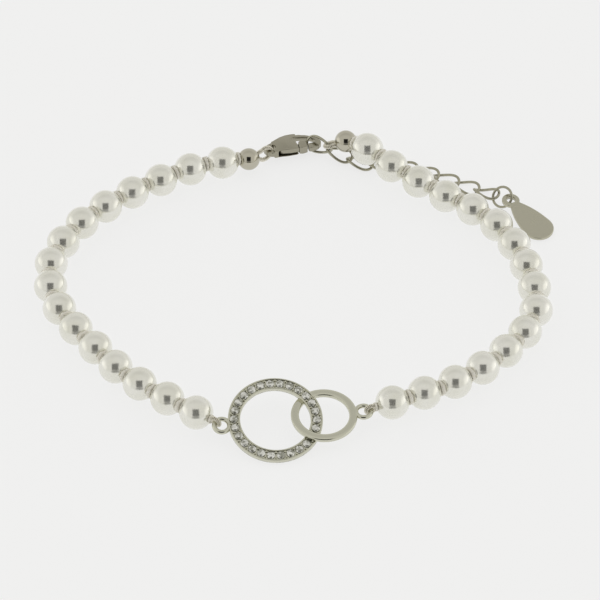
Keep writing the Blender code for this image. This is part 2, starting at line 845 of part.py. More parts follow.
def make_side(name, hold, tangent, width, reach, route, gap, loop_frame, first_pearl, step):
    """One strand, from the metal that it is looped on to its end loop in front."""
    bead_radius = END_BEAD_DIAMETER / 2
    pearl_radius = PEARL_DIAMETER / 2
    loop_wire = (END_LOOP_DIAMETER - END_LOOP_WIRE) / 2
    guard = END_LOOP_WIRE / 2 + CLEARANCE + BULLION_DIAMETER / 2
    to_bead = reach + BEAD_SEAT
    to_loop = pearl_radius + CLEARANCE + BULLION_DIAMETER / 2 + guard + loop_wire
    pitch = PEARL_DIAMETER + gap
    bead_end = sqrt(bead_radius**2 - (END_BEAD_BORE / 2) ** 2)
    distances = [to_bead, bead_end + pearl_radius + END_BEAD_GAP]
    distances += [pitch] * (PEARLS_PER_STRAND - 1) + [to_loop]
    end = loop_frame.translation
    level_end = (end.x, end.y, pearl_radius)
    places = lay_beads(hold, pearl_route(route), level_end, distances)
    places[-1] = end
    radii = [bead_end] + [pearl_radius] * PEARLS_PER_STRAND
    beads, axes, knots = make_strand(
        name, places, radii, first_pearl, step, END_BEAD_MESH, PEARL_MESH
    )
    toward = beads[0] - hold
    inner = BULLION_DIAMETER / 2 + CLEARANCE + width
    bullion_loop("bullion_" + name + "_clasp_side", hold, tangent, toward, inner, reach,
                 inner * BULLION_FULLNESS, BULLION_TAPER)
    loop_normal = loop_frame.to_3x3() @ UP
    leave = beads[-1] - end
    leave = (leave - leave.dot(loop_normal) * loop_normal).normalized()
    grip = end + leave * loop_wire
    bullion_loop("bullion_" + name + "_circle_side", grip, loop_normal.cross(leave),
                 beads[-1] - grip, guard, guard, guard, 0.0)
    start = hold + toward.normalized() * (reach + BULLION_DIAMETER / 2 + CLEARANCE)
    finish = beads[-1] + axes[-1] * (pearl_radius + CLEARANCE / 4)
    make_thread(name, start, knots, finish)


def centre_on_origin():
    """Put the middle of the bracelet's underside at the origin."""
    bpy.context.view_layer.update()
    graph = bpy.context.evaluated_depsgraph_get()
    corners = []
    for item in PARTS.objects:
        if item.type != "MESH":
            continue
        whole = item.evaluated_get(graph)
        mesh = whole.to_mesh()
        spots = np.empty(len(mesh.vertices) * 3)
        mesh.vertices.foreach_get("co", spots)
        turn = np.array(item.matrix_world)
        corners.append(spots.reshape(-1, 3) @ turn[:3, :3].T + turn[:3, 3])
        whole.to_mesh_clear()
    corners = np.vstack(corners)
    low, high = corners.min(axis=0), corners.max(axis=0)
    middle = (low + high) / 2
    ROOT.location = (-middle[0], -middle[1], -low[2])
    bpy.context.view_layer.update()


clear_scene()
PARTS = new_collection("pearl_bracelet")
TOOLS = new_collection("cutters")
ROOT = bpy.data.objects.new("bracelet_root", None)
PARTS.objects.link(ROOT)

PEARL = new_material("pearl_nacre", (0.80, 0.79, 0.73), 0.18, 0.0)
SILVER = new_material("sterling_silver", (0.72, 0.71, 0.66), 0.16, 1.0)
BULLION = new_material("silver_bullion", (0.70, 0.69, 0.62), 0.30, 1.0)
THREAD = new_material("cream_silk", (0.62, 0.57, 0.42), 0.85, 0.0)

PEARL_MESH = bead_mesh("pearl", PEARL_DIAMETER, PEARL_BORE, PEARL)
END_BEAD_MESH = bead_mesh("end_bead", END_BEAD_DIAMETER, END_BEAD_BORE, SILVER)

pave_loop, plain_loop = make_linked_circles()
clasp_place = make_clasp()
first_link = make_chain(clasp_place)

eyelet_ring = (EYELET_DIAMETER + EYELET_HOLE) / 4
outward = Vector((*LEFT_ROUTE[0][:2], 0.0)) - Vector((*CLASP_PLACE, 0.0))
outward.normalize()
eyelet_hold = clasp_place.translation + outward * eyelet_ring
make_side(
    "left", eyelet_hold, UP.cross(outward), EYELET_THICKNESS / 2, CLASP_BULLION_REACH,
    LEFT_ROUTE, LEFT_PEARL_GAP, pave_loop, 1, 1,
)
link_spot = Vector((
    (LINK_LENGTH - LINK_WIRE) / 2 * cos(CHAIN_HOLD_ANGLE),
    (LINK_WIDTH - LINK_WIRE) / 2 * sin(CHAIN_HOLD_ANGLE),
    LINK_TWIST * sin(2 * CHAIN_HOLD_ANGLE),
))
link_heading = Vector((
    -(LINK_LENGTH - LINK_WIRE) / 2 * sin(CHAIN_HOLD_ANGLE),
    (LINK_WIDTH - LINK_WIRE) / 2 * cos(CHAIN_HOLD_ANGLE),
    2 * LINK_TWIST * cos(2 * CHAIN_HOLD_ANGLE),
))
make_side(
    "right", first_link @ link_spot, first_link.to_3x3() @ link_heading, LINK_WIRE / 2,
    CHAIN_BULLION_REACH, RIGHT_ROUTE, RIGHT_PEARL_GAP, plain_loop, 2 * PEARLS_PER_STRAND, -1,
)
centre_on_origin()
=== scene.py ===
# %% [markdown]
# # A knotted pearl bracelet, dressed for its photograph
#
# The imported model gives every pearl, link and clasp part its place. This lesson keeps
# those places and replaces the plain solids with smooth surfaces, coiled wire, tied
# knots and cut stones, and then gives each finish its own procedural material.

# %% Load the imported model
import json

import bmesh
import bpy
import numpy as np
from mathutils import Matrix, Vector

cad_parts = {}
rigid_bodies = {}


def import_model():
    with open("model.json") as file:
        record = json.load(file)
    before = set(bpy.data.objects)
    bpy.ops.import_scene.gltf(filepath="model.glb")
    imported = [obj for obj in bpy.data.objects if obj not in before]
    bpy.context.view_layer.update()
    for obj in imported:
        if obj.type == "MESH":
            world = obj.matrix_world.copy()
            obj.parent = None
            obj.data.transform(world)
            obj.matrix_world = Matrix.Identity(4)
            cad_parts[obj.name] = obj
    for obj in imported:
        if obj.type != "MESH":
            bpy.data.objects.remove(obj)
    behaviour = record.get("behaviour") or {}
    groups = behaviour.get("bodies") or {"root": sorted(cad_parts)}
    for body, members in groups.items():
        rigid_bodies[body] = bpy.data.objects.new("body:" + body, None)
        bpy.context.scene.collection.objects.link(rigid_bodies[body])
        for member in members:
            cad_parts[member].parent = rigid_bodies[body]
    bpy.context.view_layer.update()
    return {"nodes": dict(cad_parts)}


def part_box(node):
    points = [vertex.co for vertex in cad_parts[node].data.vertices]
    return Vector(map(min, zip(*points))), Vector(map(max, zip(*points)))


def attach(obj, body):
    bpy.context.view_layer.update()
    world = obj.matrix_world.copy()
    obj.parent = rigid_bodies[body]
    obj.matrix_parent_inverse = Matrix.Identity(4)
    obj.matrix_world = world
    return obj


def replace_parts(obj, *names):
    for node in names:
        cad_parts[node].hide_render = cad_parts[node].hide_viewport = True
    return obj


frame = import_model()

BODY = "bracelet"
LEVER_BODY = "clasp_lever"
MM = 0.001
UP = np.array([0.0, 0.0, 1.0])
NODES = sorted(frame["nodes"])
print("nodes in the frame:", len(NODES))

# %% [markdown]
# Real materials are described in two or three numbers each. Colours are written as the
# hex values that a screen shows, and one function turns them to the linear values that
# a shader works in. One more function adds a node with its settings and its links.

# %% Colour and node helpers


def linear(hex_colour):
    """Linear colour of an sRGB hex value: over 12.92 where dark, else to the power 2.4."""
    values = np.array([int(hex_colour[i : i + 2], 16) for i in (1, 3, 5)]) / 255
    low = values / 12.92
    high = ((values + 0.055) / 1.055) ** 2.4
    return (*np.where(values <= 0.04045, low, high), 1.0)


def add_node(tree, kind, settings=None, links=None):
    """Add a node, set its properties and input values, and link its inputs."""
    node = tree.nodes.new(kind)
    for name, value in (settings or {}).items():
        if hasattr(node, name):
            setattr(node, name, value)
        else:
            node.inputs[name].default_value = value
    for name, source in (links or {}).items():
        tree.links.new(source, node.inputs[name])
    return node


def new_material(name, hex_colour, settings):
    """Principled material with its constants set on the shader's own sockets."""
    material = bpy.data.materials.new(name)
    material.use_nodes = True
    shader = material.node_tree.nodes["Principled BSDF"]
    shader.inputs["Base Color"].default_value = linear(hex_colour)
    for socket, value in settings.items():
        shader.inputs[socket].default_value = value
    return material, material.node_tree, shader


def spots(tree, size, detail, low, high):
    """Soft spots of a size in metres, on Object coordinates, spread from low to high."""
    place = add_node(tree, "ShaderNodeTexCoord")
    settings = {"Scale": 1 / size, "Detail": detail}
    noise = add_node(
        tree, "ShaderNodeTexNoise", settings, {"Vector": place.outputs["Object"]}
    )
    # Noise seldom leaves the range from 0.3 to 0.7, so that range is stretched.
    settings = {"To Min": low, "To Max": high, "From Min": 0.3, "From Max": 0.7}
    links = {"Value": noise.outputs["Fac"]}
    return add_node(tree, "ShaderNodeMapRange", settings, links).outputs["Result"]


def uneven(tree, shader, rough, ripple):
    """Uneven finish: roughness wanders from low to high, and the surface ripples in height.

    rough is size, detail, low and high; ripple is size, detail and height. Both sizes
    and the height are in metres.
    """
    tree.links.new(spots(tree, *rough), shader.inputs["Roughness"])
    size, detail, height = ripple
    links = {"Height": spots(tree, size, detail, 0.0, 1.0)}
    node = add_node(tree, "ShaderNodeBump", {"Distance": height}, links)
    tree.links.new(node.outputs["Normal"], shader.inputs["Normal"])


def two_tone(tree, shader, share, first, second):
    """Colour that goes from the first tone to the second with a share from 0 to 1."""
    mix = add_node(tree, "ShaderNodeMix", {"data_type": "RGBA"})
    # Inputs 6 and 7 and output 2 are this node's colours.
    mix.inputs[6].default_value = linear(first)
    mix.inputs[7].default_value = linear(second)
    tree.links.new(share, mix.inputs[0])
    tree.links.new(mix.outputs[2], shader.inputs["Base Color"])


print("mid grey on screen is", round(float(linear("#808080")[0]), 3), "in linear light")

# %% [markdown]
# ## Nacre
#
# A pearl is thousands of layers of aragonite, each thinner than a hair by far. They
# mirror much more light than one smooth coat would, so the middle of a white pearl
# shows the dark opening of the light tent as a soft patch. A partly metallic shader
# with a thin clear coat gives that strong, slightly blurred mirror over a white body.
# The layers are uneven at a millimetre's scale, which tints and ripples the surface:
# tints lie 2.4 mm apart, ripples 1.4 mm and duller spots 1.1 mm. A pattern's scale in
# its node is one over that size.

# %% Nacre material
TINT_SIZE = 2.38 * MM
DULL_SPOT_SIZE = 1.11 * MM
RIPPLE_SIZE = 1.43 * MM


def nacre():
    """Pearl: a white body under a strong, slightly blurred mirror, unevenly layered."""
    settings = {
        "Metallic": 0.70,
        "IOR": 1.55,
        "Coat Weight": 0.15,
        "Coat Roughness": 0.05,
        "Coat IOR": 1.5,
    }
    material, tree, shader = new_material("pearl_nacre", "#d8d8ce", settings)
    two_tone(tree, shader, spots(tree, TINT_SIZE, 2.0, 0.0, 1.0), "#f3f2eb", "#ebeadf")
    rough = (DULL_SPOT_SIZE, 3.0, 0.12, 0.18)
    uneven(tree, shader, rough, (RIPPLE_SIZE, 3.0, 0.012 * MM))
    return material


# Cultured pearl nacre: blurred mirror over white, which gives the eye its depth.
NACRE = nacre()
print("made", NACRE.name)

# %% [markdown]
# ## Silver, wire and thread
#
# The clasp, the chain, the circles and the small beads are cast or drawn sterling
# silver, tumbled and then rhodium plated, which leaves a bright and slightly grey
# surface with faint ripples and hairline wear. The bullion is the same silver drawn to
# hair-thin wire, so it looks paler and softer. The thread is two plies of cream silk.
# Ripples from tumbling lie 1.5 mm apart and wear marks 0.7 mm. Silk fibres are a
# hundredth of a millimetre thick, too fine to show, so they are drawn 0.2 mm apart.

# %% Silver, wire, stone and thread finishes
WEAR_SIZE = 0.667 * MM
TUMBLE_SIZE = 1.54 * MM
PAINTED_FLASH_SIZE = 0.238 * MM
FIBRE_SIZE = 0.1923 * MM


def polished_silver(name, hex_colour, low, high, ripple):
    """Silver whose roughness wanders between two values over soft ripples."""
    material, tree, shader = new_material(name, hex_colour, {"Metallic": 1.0})
    uneven(tree, shader, (WEAR_SIZE, 4.0, low, high), (TUMBLE_SIZE, 2.0, ripple))
    return material


def cut_stone():
    """Cubic zirconia: grey and white cells a quarter of a millimetre wide in its colour, painted
    flashes of reflected light.
    """
    settings = {"Roughness": 0.14, "IOR": 2.15, "Metallic": 0.55}
    material, tree, shader = new_material("cubic_zirconia", "#fbfcfb", settings)
    place = add_node(tree, "ShaderNodeTexCoord")
    links = {"Vector": place.outputs["Object"]}
    cells = add_node(tree, "ShaderNodeTexVoronoi", {"Scale": 1 / PAINTED_FLASH_SIZE}, links)
    split = add_node(tree, "ShaderNodeSeparateColor", None, {"Color": cells.outputs["Color"]})
    ramp = add_node(tree, "ShaderNodeValToRGB", None, {"Fac": split.outputs["Red"]})
    # Grey and white tones of the cells: painted reflection and sparkle in the stone's colour.
    stops = ((0.2, "#97978a"), (0.75, "#eeeee8"))
    for element, (position, tone) in zip(ramp.color_ramp.elements, stops):
        element.position = position
        element.color = linear(tone)
    tree.links.new(ramp.outputs["Color"], shader.inputs["Base Color"])
    return material


def silk_thread():
    """Two-ply silk: matt, with a soft sheen, and fibres as light and dark raised spots."""
    settings = {"Roughness": 0.8, "Sheen Weight": 0.3, "Sheen Roughness": 0.5}
    material, tree, shader = new_material("cream_silk_thread", "#e0d8c4", settings)
    two_tone(tree, shader, spots(tree, FIBRE_SIZE, 4.0, 0.0, 1.0), "#faf8f0", "#eae4d4")
    uneven(tree, shader, (FIBRE_SIZE, 4.0, 0.7, 0.9), (FIBRE_SIZE, 4.0, 0.03 * MM))
    return material


print("ripples in silver:", TUMBLE_SIZE / MM, "mm, wear marks:", WEAR_SIZE / MM, "mm")

# %% The silvers, the stone and the silk
# Plated silver of the circles: buffed last, so it mirrors the tent almost sharply.
SILVER = polished_silver("rhodium_plated_silver", "#cecdbc", 0.05, 0.16, 0.006 * MM)
# Cast silver of the clasp: only tumbled, which leaves it softer, greyer and rippled.
CAST_SILVER = polished_silver("cast_silver", "#a4a090", 0.12, 0.26, 0.012 * MM)
# Drawn silver wire of the chain: smooth along its length, with a narrow soft shine.
DRAWN_SILVER = polished_silver("drawn_silver_wire", "#aca997", 0.10, 0.20, 0.003 * MM)
# Stamped sheet silver of the tag: flat and faintly clouded, so it looks evenly grey.
STAMPED_SILVER = polished_silver("stamped_silver_sheet", "#bfbcaa", 0.16, 0.28, 0.005 * MM)
# Coiled bullion wire: so fine that its many turns scatter the light and look pale.
BULLION = polished_silver("bullion_wire", "#e6e2d4", 0.22, 0.36, 0.004 * MM)
# Spun silver of the end beads: pressed from sheet and polished to a clear round mirror.
BEAD_SILVER = polished_silver("spun_silver", "#c0bcad", 0.04, 0.10, 0.003 * MM)
# Cubic zirconia stones: flat facets, with grey and white flashes painted into the colour as
# reflections.
STONE = cut_stone()
# Twisted cream silk thread: matt fibres that soften every edge of a knot.
SILK = silk_thread()
SILVERS = (SILVER, CAST_SILVER, DRAWN_SILVER, STAMPED_SILVER, BULLION, BEAD_SILVER)
print("made", [material.name for material in (*SILVERS, STONE, SILK)])

# %% [markdown]
# ## Surfaces as grids
#
# Almost every piece here is a shape with two parameters: once round and once along.
# A grid of points becomes a mesh when each point is joined to its neighbours. One
# function does that, and closes the grid in either direction.

# %% Grid surfaces


def grid_faces(rows, columns, close_rows, close_columns):
    """Quads that join each grid point to the next in both directions."""
    row = np.arange(rows if close_rows else rows - 1)
    column = np.arange(columns if close_columns else columns - 1)
    r, c = np.meshgrid(row, column, indexing="ij")
    right, down = (c + 1) % columns, (r + 1) % rows
    corners = [r * columns + c, r * columns + right, down * columns + right, down * columns + c]
    return np.stack(corners, axis=-1).reshape(-1, 4)


def show(name, mesh, material, body):
    """Object from a mesh in one material, riding on a body."""
    mesh.materials.clear()
    mesh.materials.append(material)
    piece = bpy.data.objects.new(name, mesh)
    bpy.context.scene.collection.objects.link(piece)
    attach(piece, body)
    return piece


def mesh_from(name, points, faces, material, smooth=True):
    """Mesh object at the origin from arrays of points and faces, on the bracelet's body."""
    mesh = bpy.data.meshes.new(name)
    mesh.vertices.add(len(points))
    mesh.vertices.foreach_set("co", np.ascontiguousarray(points, dtype=np.float32).ravel())
    sides = faces.shape[1]
    mesh.loops.add(faces.size)
    mesh.loops.foreach_set("vertex_index", faces.astype(np.int32).ravel())
    mesh.polygons.add(len(faces))
    mesh.polygons.foreach_set("loop_start", np.arange(len(faces), dtype=np.int32) * sides)
    mesh.update(calc_edges=True)
    mesh.validate()
    if smooth:
        mesh.shade_smooth()
    return show(name, mesh, material, BODY)


def point_outwards(piece):
    """Close what is open at a tube's ends or a ball's poles, and turn all faces outwards."""
    work = bmesh.new()
    work.from_mesh(piece.data)
    bmesh.ops.holes_fill(work, edges=work.edges, sides=0)
    bmesh.ops.recalc_face_normals(work, faces=work.faces)
    if work.calc_volume(signed=True) < 0:
        bmesh.ops.reverse_faces(work, faces=work.faces)
    work.to_mesh(piece.data)
    work.free()


def closed_surface(name, grid, material):
    """Piece from a grid of points that closes both ways, such as a ring or a drilled bead."""
    rows, columns = grid.shape[:2]
    faces = grid_faces(rows, columns, True, True)
    piece = mesh_from(name, grid.reshape(-1, 3), faces, material)
    point_outwards(piece)
    return piece


print("a ring of 4 by 6 points has", len(grid_faces(4, 6, True, True)), "faces")

# %% [markdown]
# ## Reading places from the model
#
# A drilled bead, an oval link and a ring are all given by a centre and three axes. The
# spread of a node's corner points along each direction tells them: a drilled bead's
# corners crowd round its hole, a link is longest along itself, and a ring is thinnest
# along its normal.

# %% Centre and axes of a node


def points_of(mesh):
    """All points of a mesh as an array."""
    flat = np.empty(len(mesh.vertices) * 3, dtype=np.float32)
    mesh.vertices.foreach_get("co", flat)
    return flat.reshape(-1, 3).astype(float)


def main_axes(node):
    """Corners of a node, their mean, and how far they spread along which three axes."""
    points = np.unique(np.round(points_of(bpy.data.objects[node].data), 8), axis=0)
    centre = points.mean(axis=0)
    spread, axes = np.linalg.eigh(np.cov((points - centre).T))
    return points, centre, spread, axes


def placed_axes(node):
    """Mean of a node's corners and its axes, widest spread first, as a right-handed set."""
    _, centre, _, axes = main_axes(node)
    axes = axes[:, ::-1].T.copy()
    axes[2] = np.cross(axes[0], axes[1])
    return centre, axes


def square_to(axis):
    """Two directions square to an axis, the first as level as can be."""
    level = np.cross(UP, axis)
    if np.linalg.norm(level) < 0.1:
        level = np.cross([0.0, 1.0, 0.0], axis)
    level = level / np.linalg.norm(level)
    return level, np.cross(axis, level)


def bead_place(node):
    """Centre of a drilled bead, and its hole: the direction whose spread is the odd one."""
    _, centre, spread, axes = main_axes(node)
    odd = np.argmax(np.abs(spread - np.median(spread)))
    return centre, axes[:, odd]


PEARLS = sorted(name for name in NODES if name.startswith("pearl_"))
centre, axis = bead_place(PEARLS[0])
print(PEARLS[0], "centre", np.round(centre / MM, 2), "hole along", np.round(axis, 2))

# %% [markdown]
# ## Pearls
#
# A pearl is a sphere with a drill hole. Its section is an arc that starts at one mouth
# of the hole and ends at the other, with a small round lip, and the wall of the hole
# closes it. Turned once round the hole's axis it is a closed surface. No pearl is quite
# round, so each has its own slight swell, with the pearl's number as the seed.

# %% Drilled bead surface
PEARL_RADIUS = 1.97 * MM
DRILL_RADIUS = 0.32 * MM
LIP = 0.06 * MM
PEARL_SIDES = 44
PEARL_SWELL = 0.006


def bead_section(radius, hole, lip, steps):
    """Distance from the axis and height: over the ball, round one lip and up the hole."""
    mouth = np.arcsin((hole + lip) / radius)
    polar = np.linspace(mouth, np.pi - mouth, steps)
    ball = np.stack([radius * np.sin(polar), radius * np.cos(polar)], axis=1)
    turn = np.linspace(0, np.pi / 2, 5)[1:]
    edge = ball[0, 1] - lip
    upper = np.stack([hole + lip - lip * np.sin(turn), edge + lip * np.cos(turn)], axis=1)
    wall = np.stack([np.full(3, hole), edge * np.array([-0.5, 0.0, 0.5])], axis=1)
    return np.vstack([ball, upper * [1, -1], wall, upper[::-1]])


def turned(section, centre, axis, sides, swell=0.0, seed=0):
    """Section turned round an axis, swelling by a low wave in both directions."""
    first, second = square_to(axis)
    angle = np.linspace(0, 2 * np.pi, sides, endpoint=False)[:, None, None]
    phase = np.random.default_rng(seed).uniform(0, 2 * np.pi, 3)
    along = section[None, :, 1:2]
    wave = np.cos(2 * angle + phase[0]) + np.cos(3 * angle + phase[1])
    wave = wave + np.sin(along / PEARL_RADIUS * 3 + phase[2])
    out = section[None, :, 0:1] * (1 + swell * wave / 3)
    return centre + axis * along + out * (np.cos(angle) * first + np.sin(angle) * second)


section = bead_section(PEARL_RADIUS, DRILL_RADIUS, LIP, 30)
for number, node in enumerate(PEARLS):
    centre, axis = bead_place(node)
    grid = turned(section, centre, axis, PEARL_SIDES, PEARL_SWELL, seed=number)
    pearl = closed_surface(node + "_nacre", grid, NACRE)
    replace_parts(pearl, node)
print("pearls:", len(PEARLS), "each", len(section) * PEARL_SIDES, "points")

# %% [markdown]
# ## Knots and thread
#
# The thread is knotted by hand after each pearl, so that a broken strand loses only
# one. A knot fills the narrow lens between two pearls, and stands out a little where
# the strand bends away. Here each knot is a lens whose rim is wound like twisted ply,
# and the thread runs through the holes as a plain two-ply cord.

# %% One knot
LEFT = ["end_bead_left"] + PEARLS[:16]
RIGHT = ["end_bead_right"] + PEARLS[16:][::-1]
PLY_TURNS = 9.0
KNOT_RADIUS = 0.93 * MM
OUTER_LIFT = 0.6
END_GAP = 0.12 * MM
COLLAR_GAP = 0.30 * MM
COLLAR_RADIUS = 0.52 * MM
COLLAR_FULLNESS = 0.8
END_KNOT_RADIUS = 0.90 * KNOT_RADIUS
THREAD_RADIUS = 0.15 * MM
KNOT_ROUNDNESS = 0.7
# A knot's ring as shares of its reach: its middle line, and half its width.
KNOT_MIDDLE = 0.52
KNOT_HALF = 0.46
# Swells as shares: on the outer side, in three lobes, and of the plies out and along.
OUTER_SWELL = 0.26
LOBE_SWELL = 0.05
PLY_SWELL = 0.06
PLY_LIFT = 0.10
# Largest turn of a knot's full side away from the outer side, in radians.
TURN_SPREAD = 0.4


def knot_surface(gap, fullness, centre, axis, outer, reach, seed):
    """Lens between two balls, fuller on its outer side.

    A flat ring is turned round the strand's axis. Its thickness at each distance is the
    room between the two balls there, and sine waves wind twisted ply round it.
    """
    first = outer - axis * np.dot(outer, axis)
    first = first / np.linalg.norm(first)
    second = np.cross(axis, first)
    turned_by = np.random.default_rng(seed).uniform(-TURN_SPREAD, TURN_SPREAD)
    around = np.linspace(0, 2 * np.pi, 40, endpoint=False)[:, None]
    across = np.linspace(0, 2 * np.pi, 20, endpoint=False)[None, :]
    lump = 1 + OUTER_SWELL * np.cos(around - turned_by) + LOBE_SWELL * np.cos(3 * around)
    wound = 1 + PLY_SWELL * np.sin(PLY_TURNS * around + across)
    out = reach * (KNOT_MIDDLE + KNOT_HALF * np.cos(across) * wound) * lump
    room = gap + 2 * (PEARL_RADIUS - np.sqrt(PEARL_RADIUS**2 - out**2))
    thick = 0.5 * room * fullness
    full = np.sign(np.sin(across)) * np.abs(np.sin(across)) ** KNOT_ROUNDNESS
    along = thick * full * (1 + PLY_LIFT * np.sin(PLY_TURNS * around + 2 * across))
    spread = np.cos(around)[..., None] * first + np.sin(around)[..., None] * second
    return centre + axis * along[..., None] + out[..., None] * spread


print("knot radius", round(KNOT_RADIUS / MM, 2), "mm")

# %% [markdown]
# The gaps are read from the pearls' own places, so a knot fills whatever room its two
# pearls leave. The knot beside an end bead is a little smaller, and a small collar ends
# the strand, where the thread goes into the bullion at the circles.

# %% Knots along a strand


def strand_places(names):
    """Centres and hole directions of a strand's beads, all pointing along the strand."""
    places = [bead_place(name) for name in names]
    centres = np.array([place[0] for place in places])
    axes = np.array([place[1] for place in places])
    ahead = np.gradient(centres, axis=0)
    flip = np.sign(np.sum(axes * ahead, axis=1))
    return centres, axes * flip[:, None]


def knots_of(names, side):
    """One lens-shaped knot in each gap between the pearls of a strand."""
    centres, axes = strand_places(names)
    points = []
    for index in range(1, len(names)):
        chord = centres[index] - centres[index - 1]
        length = np.linalg.norm(chord)
        chord = chord / length
        if index == 1:
            gap = END_GAP
            middle = centres[index] - chord * (PEARL_RADIUS + END_GAP / 2)
            reach = END_KNOT_RADIUS
        else:
            gap = length - 2 * PEARL_RADIUS
            middle = (centres[index] + centres[index - 1]) / 2
            reach = KNOT_RADIUS
        outer = np.array([middle[0], middle[1], 0.0])
        outer = outer / np.linalg.norm(outer) + UP * OUTER_LIFT
        knot = knot_surface(gap, 1.0, middle, chord, outer, reach, index + 50 * side)
        points.append(knot)
    middle = centres[-1] + axes[-1] * (PEARL_RADIUS + COLLAR_GAP / 2)
    collar = knot_surface(
        COLLAR_GAP, COLLAR_FULLNESS, middle, axes[-1], UP, COLLAR_RADIUS, side
    )
    grids = np.array([*points, collar])
    count, rows, columns = grids.shape[:3]
    faces = grid_faces(rows, columns, True, True)
    offsets = (np.arange(count) * rows * columns)[:, None, None]
    return grids.reshape(-1, 3), (faces[None] + offsets).reshape(-1, 4), centres, axes


span = strand_places(LEFT)[0]
print("left strand reaches", np.round((span[-1] - span[0]) / MM, 1), "mm")

# %% [markdown]
# The thread's path is a smooth curve through the middles of the holes. A tube along a
# path needs a frame that doesn't spin, so each ring starts from one guide direction,
# such as straight up, laid flat on the plane square to the path.

# %% Curve through points, and directions along it
THREAD_SPAN = 20


def smooth_curve(points, steps):
    """Cubic curve through points: the slope at each is half the step between its neighbours."""
    ends = np.vstack([2 * points[0] - points[1], points, 2 * points[-1] - points[-2]])
    share = np.linspace(0, 1, steps, endpoint=False)[None, :, None]
    a, b, c, d = (ends[k : len(ends) - 3 + k, None] for k in range(4))
    cubic = (3 * b - a - 3 * c + d) * share**3 + (2 * a - 5 * b + 4 * c - d) * share**2
    path = 0.5 * (2 * b + (c - a) * share + cubic)
    return np.vstack([path.reshape(-1, 3), points[-1:]])


def path_frames(path, guide, closed):
    """Direction along a path, and two square to it: the guide laid flat, and across."""
    if closed:
        ahead = np.roll(path, -1, axis=0) - np.roll(path, 1, axis=0)
    else:
        ahead = np.gradient(path, axis=0)
    ahead = ahead / np.linalg.norm(ahead, axis=1)[:, None]
    flat = guide - ahead * np.sum(guide * ahead, axis=1)[:, None]
    first = flat / np.linalg.norm(flat, axis=1)[:, None]
    return ahead, first, np.cross(ahead, first)


print("left thread's path:", len(smooth_curve(span, THREAD_SPAN)), "points")

# %% Tubes round a path


def tube_grid(path, guide, radius, sides, closed=False, ply=0.0, turns=0.0):
    """Round tube along a path, whose radius may ripple like two twisted plies."""
    _, first, second = path_frames(path, guide, closed)
    angle = np.linspace(0, 2 * np.pi, sides, endpoint=False)[None, :]
    along = np.linspace(0, 1, len(path))[:, None]
    size = radius * (1 + ply * np.cos(2 * angle - 2 * np.pi * turns * along))
    ring = np.cos(angle)[..., None] * first[:, None] + np.sin(angle)[..., None] * second[:, None]
    return path[:, None] + size[..., None] * ring


def capped_tube(path, guide, radius, sides, ply=0.0, turns=0.0):
    """Tube closed at both ends by shrinking its end rings to a point's width."""
    grid = tube_grid(path, guide, radius, sides, False, ply, turns)
    first = path[:1, None] + (grid[:1] - path[:1, None]) * 0.01
    last = path[-1:, None] + (grid[-1:] - path[-1:, None]) * 0.01
    return np.concatenate([first, grid, last], axis=0)


print("thread:", round(2 * THREAD_RADIUS / MM, 2), "mm thick")

# %% Thread and knots in place
PLY_DEPTH = 0.16
PLIES_PER_PEARL = 6
# The thread starts inside the end bead and stops just past the last pearl.
HEAD_LENGTH = 0.2 * MM
TAIL_LENGTH = 0.02 * MM
for side, (names, node) in enumerate(((LEFT, "thread_left"), (RIGHT, "thread_right"))):
    points, faces, centres, axes = knots_of(names, side)
    knots = mesh_from(node + "_knots", points, faces, SILK)
    point_outwards(knots)
    tail = centres[-1] + axes[-1] * (PEARL_RADIUS + TAIL_LENGTH)
    head = centres[0] - axes[0] * HEAD_LENGTH
    path = smooth_curve(np.vstack([head, centres[1:], tail]), THREAD_SPAN)
    turns = len(names) * PLIES_PER_PEARL
    grid = capped_tube(path, UP, THREAD_RADIUS, 10, ply=PLY_DEPTH, turns=turns)
    faces = grid_faces(*grid.shape[:2], False, True)
    cord = mesh_from(node + "_silk", grid.reshape(-1, 3), faces, SILK)
    point_outwards(cord)
    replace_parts(cord, node)
print("knots on each strand:", len(LEFT) - 1)

# %% [markdown]
# ## Silver end beads
#
# Each strand ends in a small plain silver bead, pressed from sheet and polished. It is
# a section like the pearl's, turned round the hole, but smaller and without a swell.

# %% End beads
END_BEAD_RADIUS = 1.35 * MM
END_BEAD_HOLE = 0.30 * MM
END_BEAD_LIP = 0.10 * MM
section = bead_section(END_BEAD_RADIUS, END_BEAD_HOLE, END_BEAD_LIP, 26)
for node in ("end_bead_left", "end_bead_right"):
    centre, axis = bead_place(node)
    grid = turned(section, centre, axis, 48)
    bead = closed_surface(node + "_polished", grid, BEAD_SILVER)
    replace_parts(bead, node)
print("end beads:", round(2 * END_BEAD_RADIUS / MM, 2), "mm")

# %% [markdown]
# ## Bullion
#
# Where the thread turns round metal it runs inside bullion, a spring of hair-thin wire.
# A coil is a helix carried along a path: round the path once for every turn, while it
# moves one wire's width ahead. The wire is drawn a little thicker than usual, because
# a finer one would be lost in the picture.

# %% Bullion coils
COIL_RADIUS = 0.210 * MM
COIL_WIRE = 0.070 * MM
COIL_PITCH = 2.05 * COIL_WIRE


def loop_path(node, count):
    """Middle line and normal of a closed tube: radius as a sum of waves of the angle."""
    points, centre, _, axes = main_axes(node)
    across, along = axes[:, 1], axes[:, 2]
    flat = np.stack([(points - centre) @ along, (points - centre) @ across], axis=1)
    angle = np.arctan2(flat[:, 1], flat[:, 0])
    radius = np.linalg.norm(flat, axis=1)

    def waves(value):
        """One, and the cosine and sine of one to four times the angle, side by side."""
        parts = [np.ones_like(value)]
        parts += [f(k * value) for k in range(1, 5) for f in (np.cos, np.sin)]
        return np.stack(parts, axis=1)

    weights = np.linalg.lstsq(waves(angle), radius, rcond=None)[0]
    turn = np.linspace(0, 2 * np.pi, count, endpoint=False)
    size = (waves(turn) @ weights)[:, None]
    path = centre + size * (np.cos(turn)[:, None] * along + np.sin(turn)[:, None] * across)
    return path, np.cross(along, across)


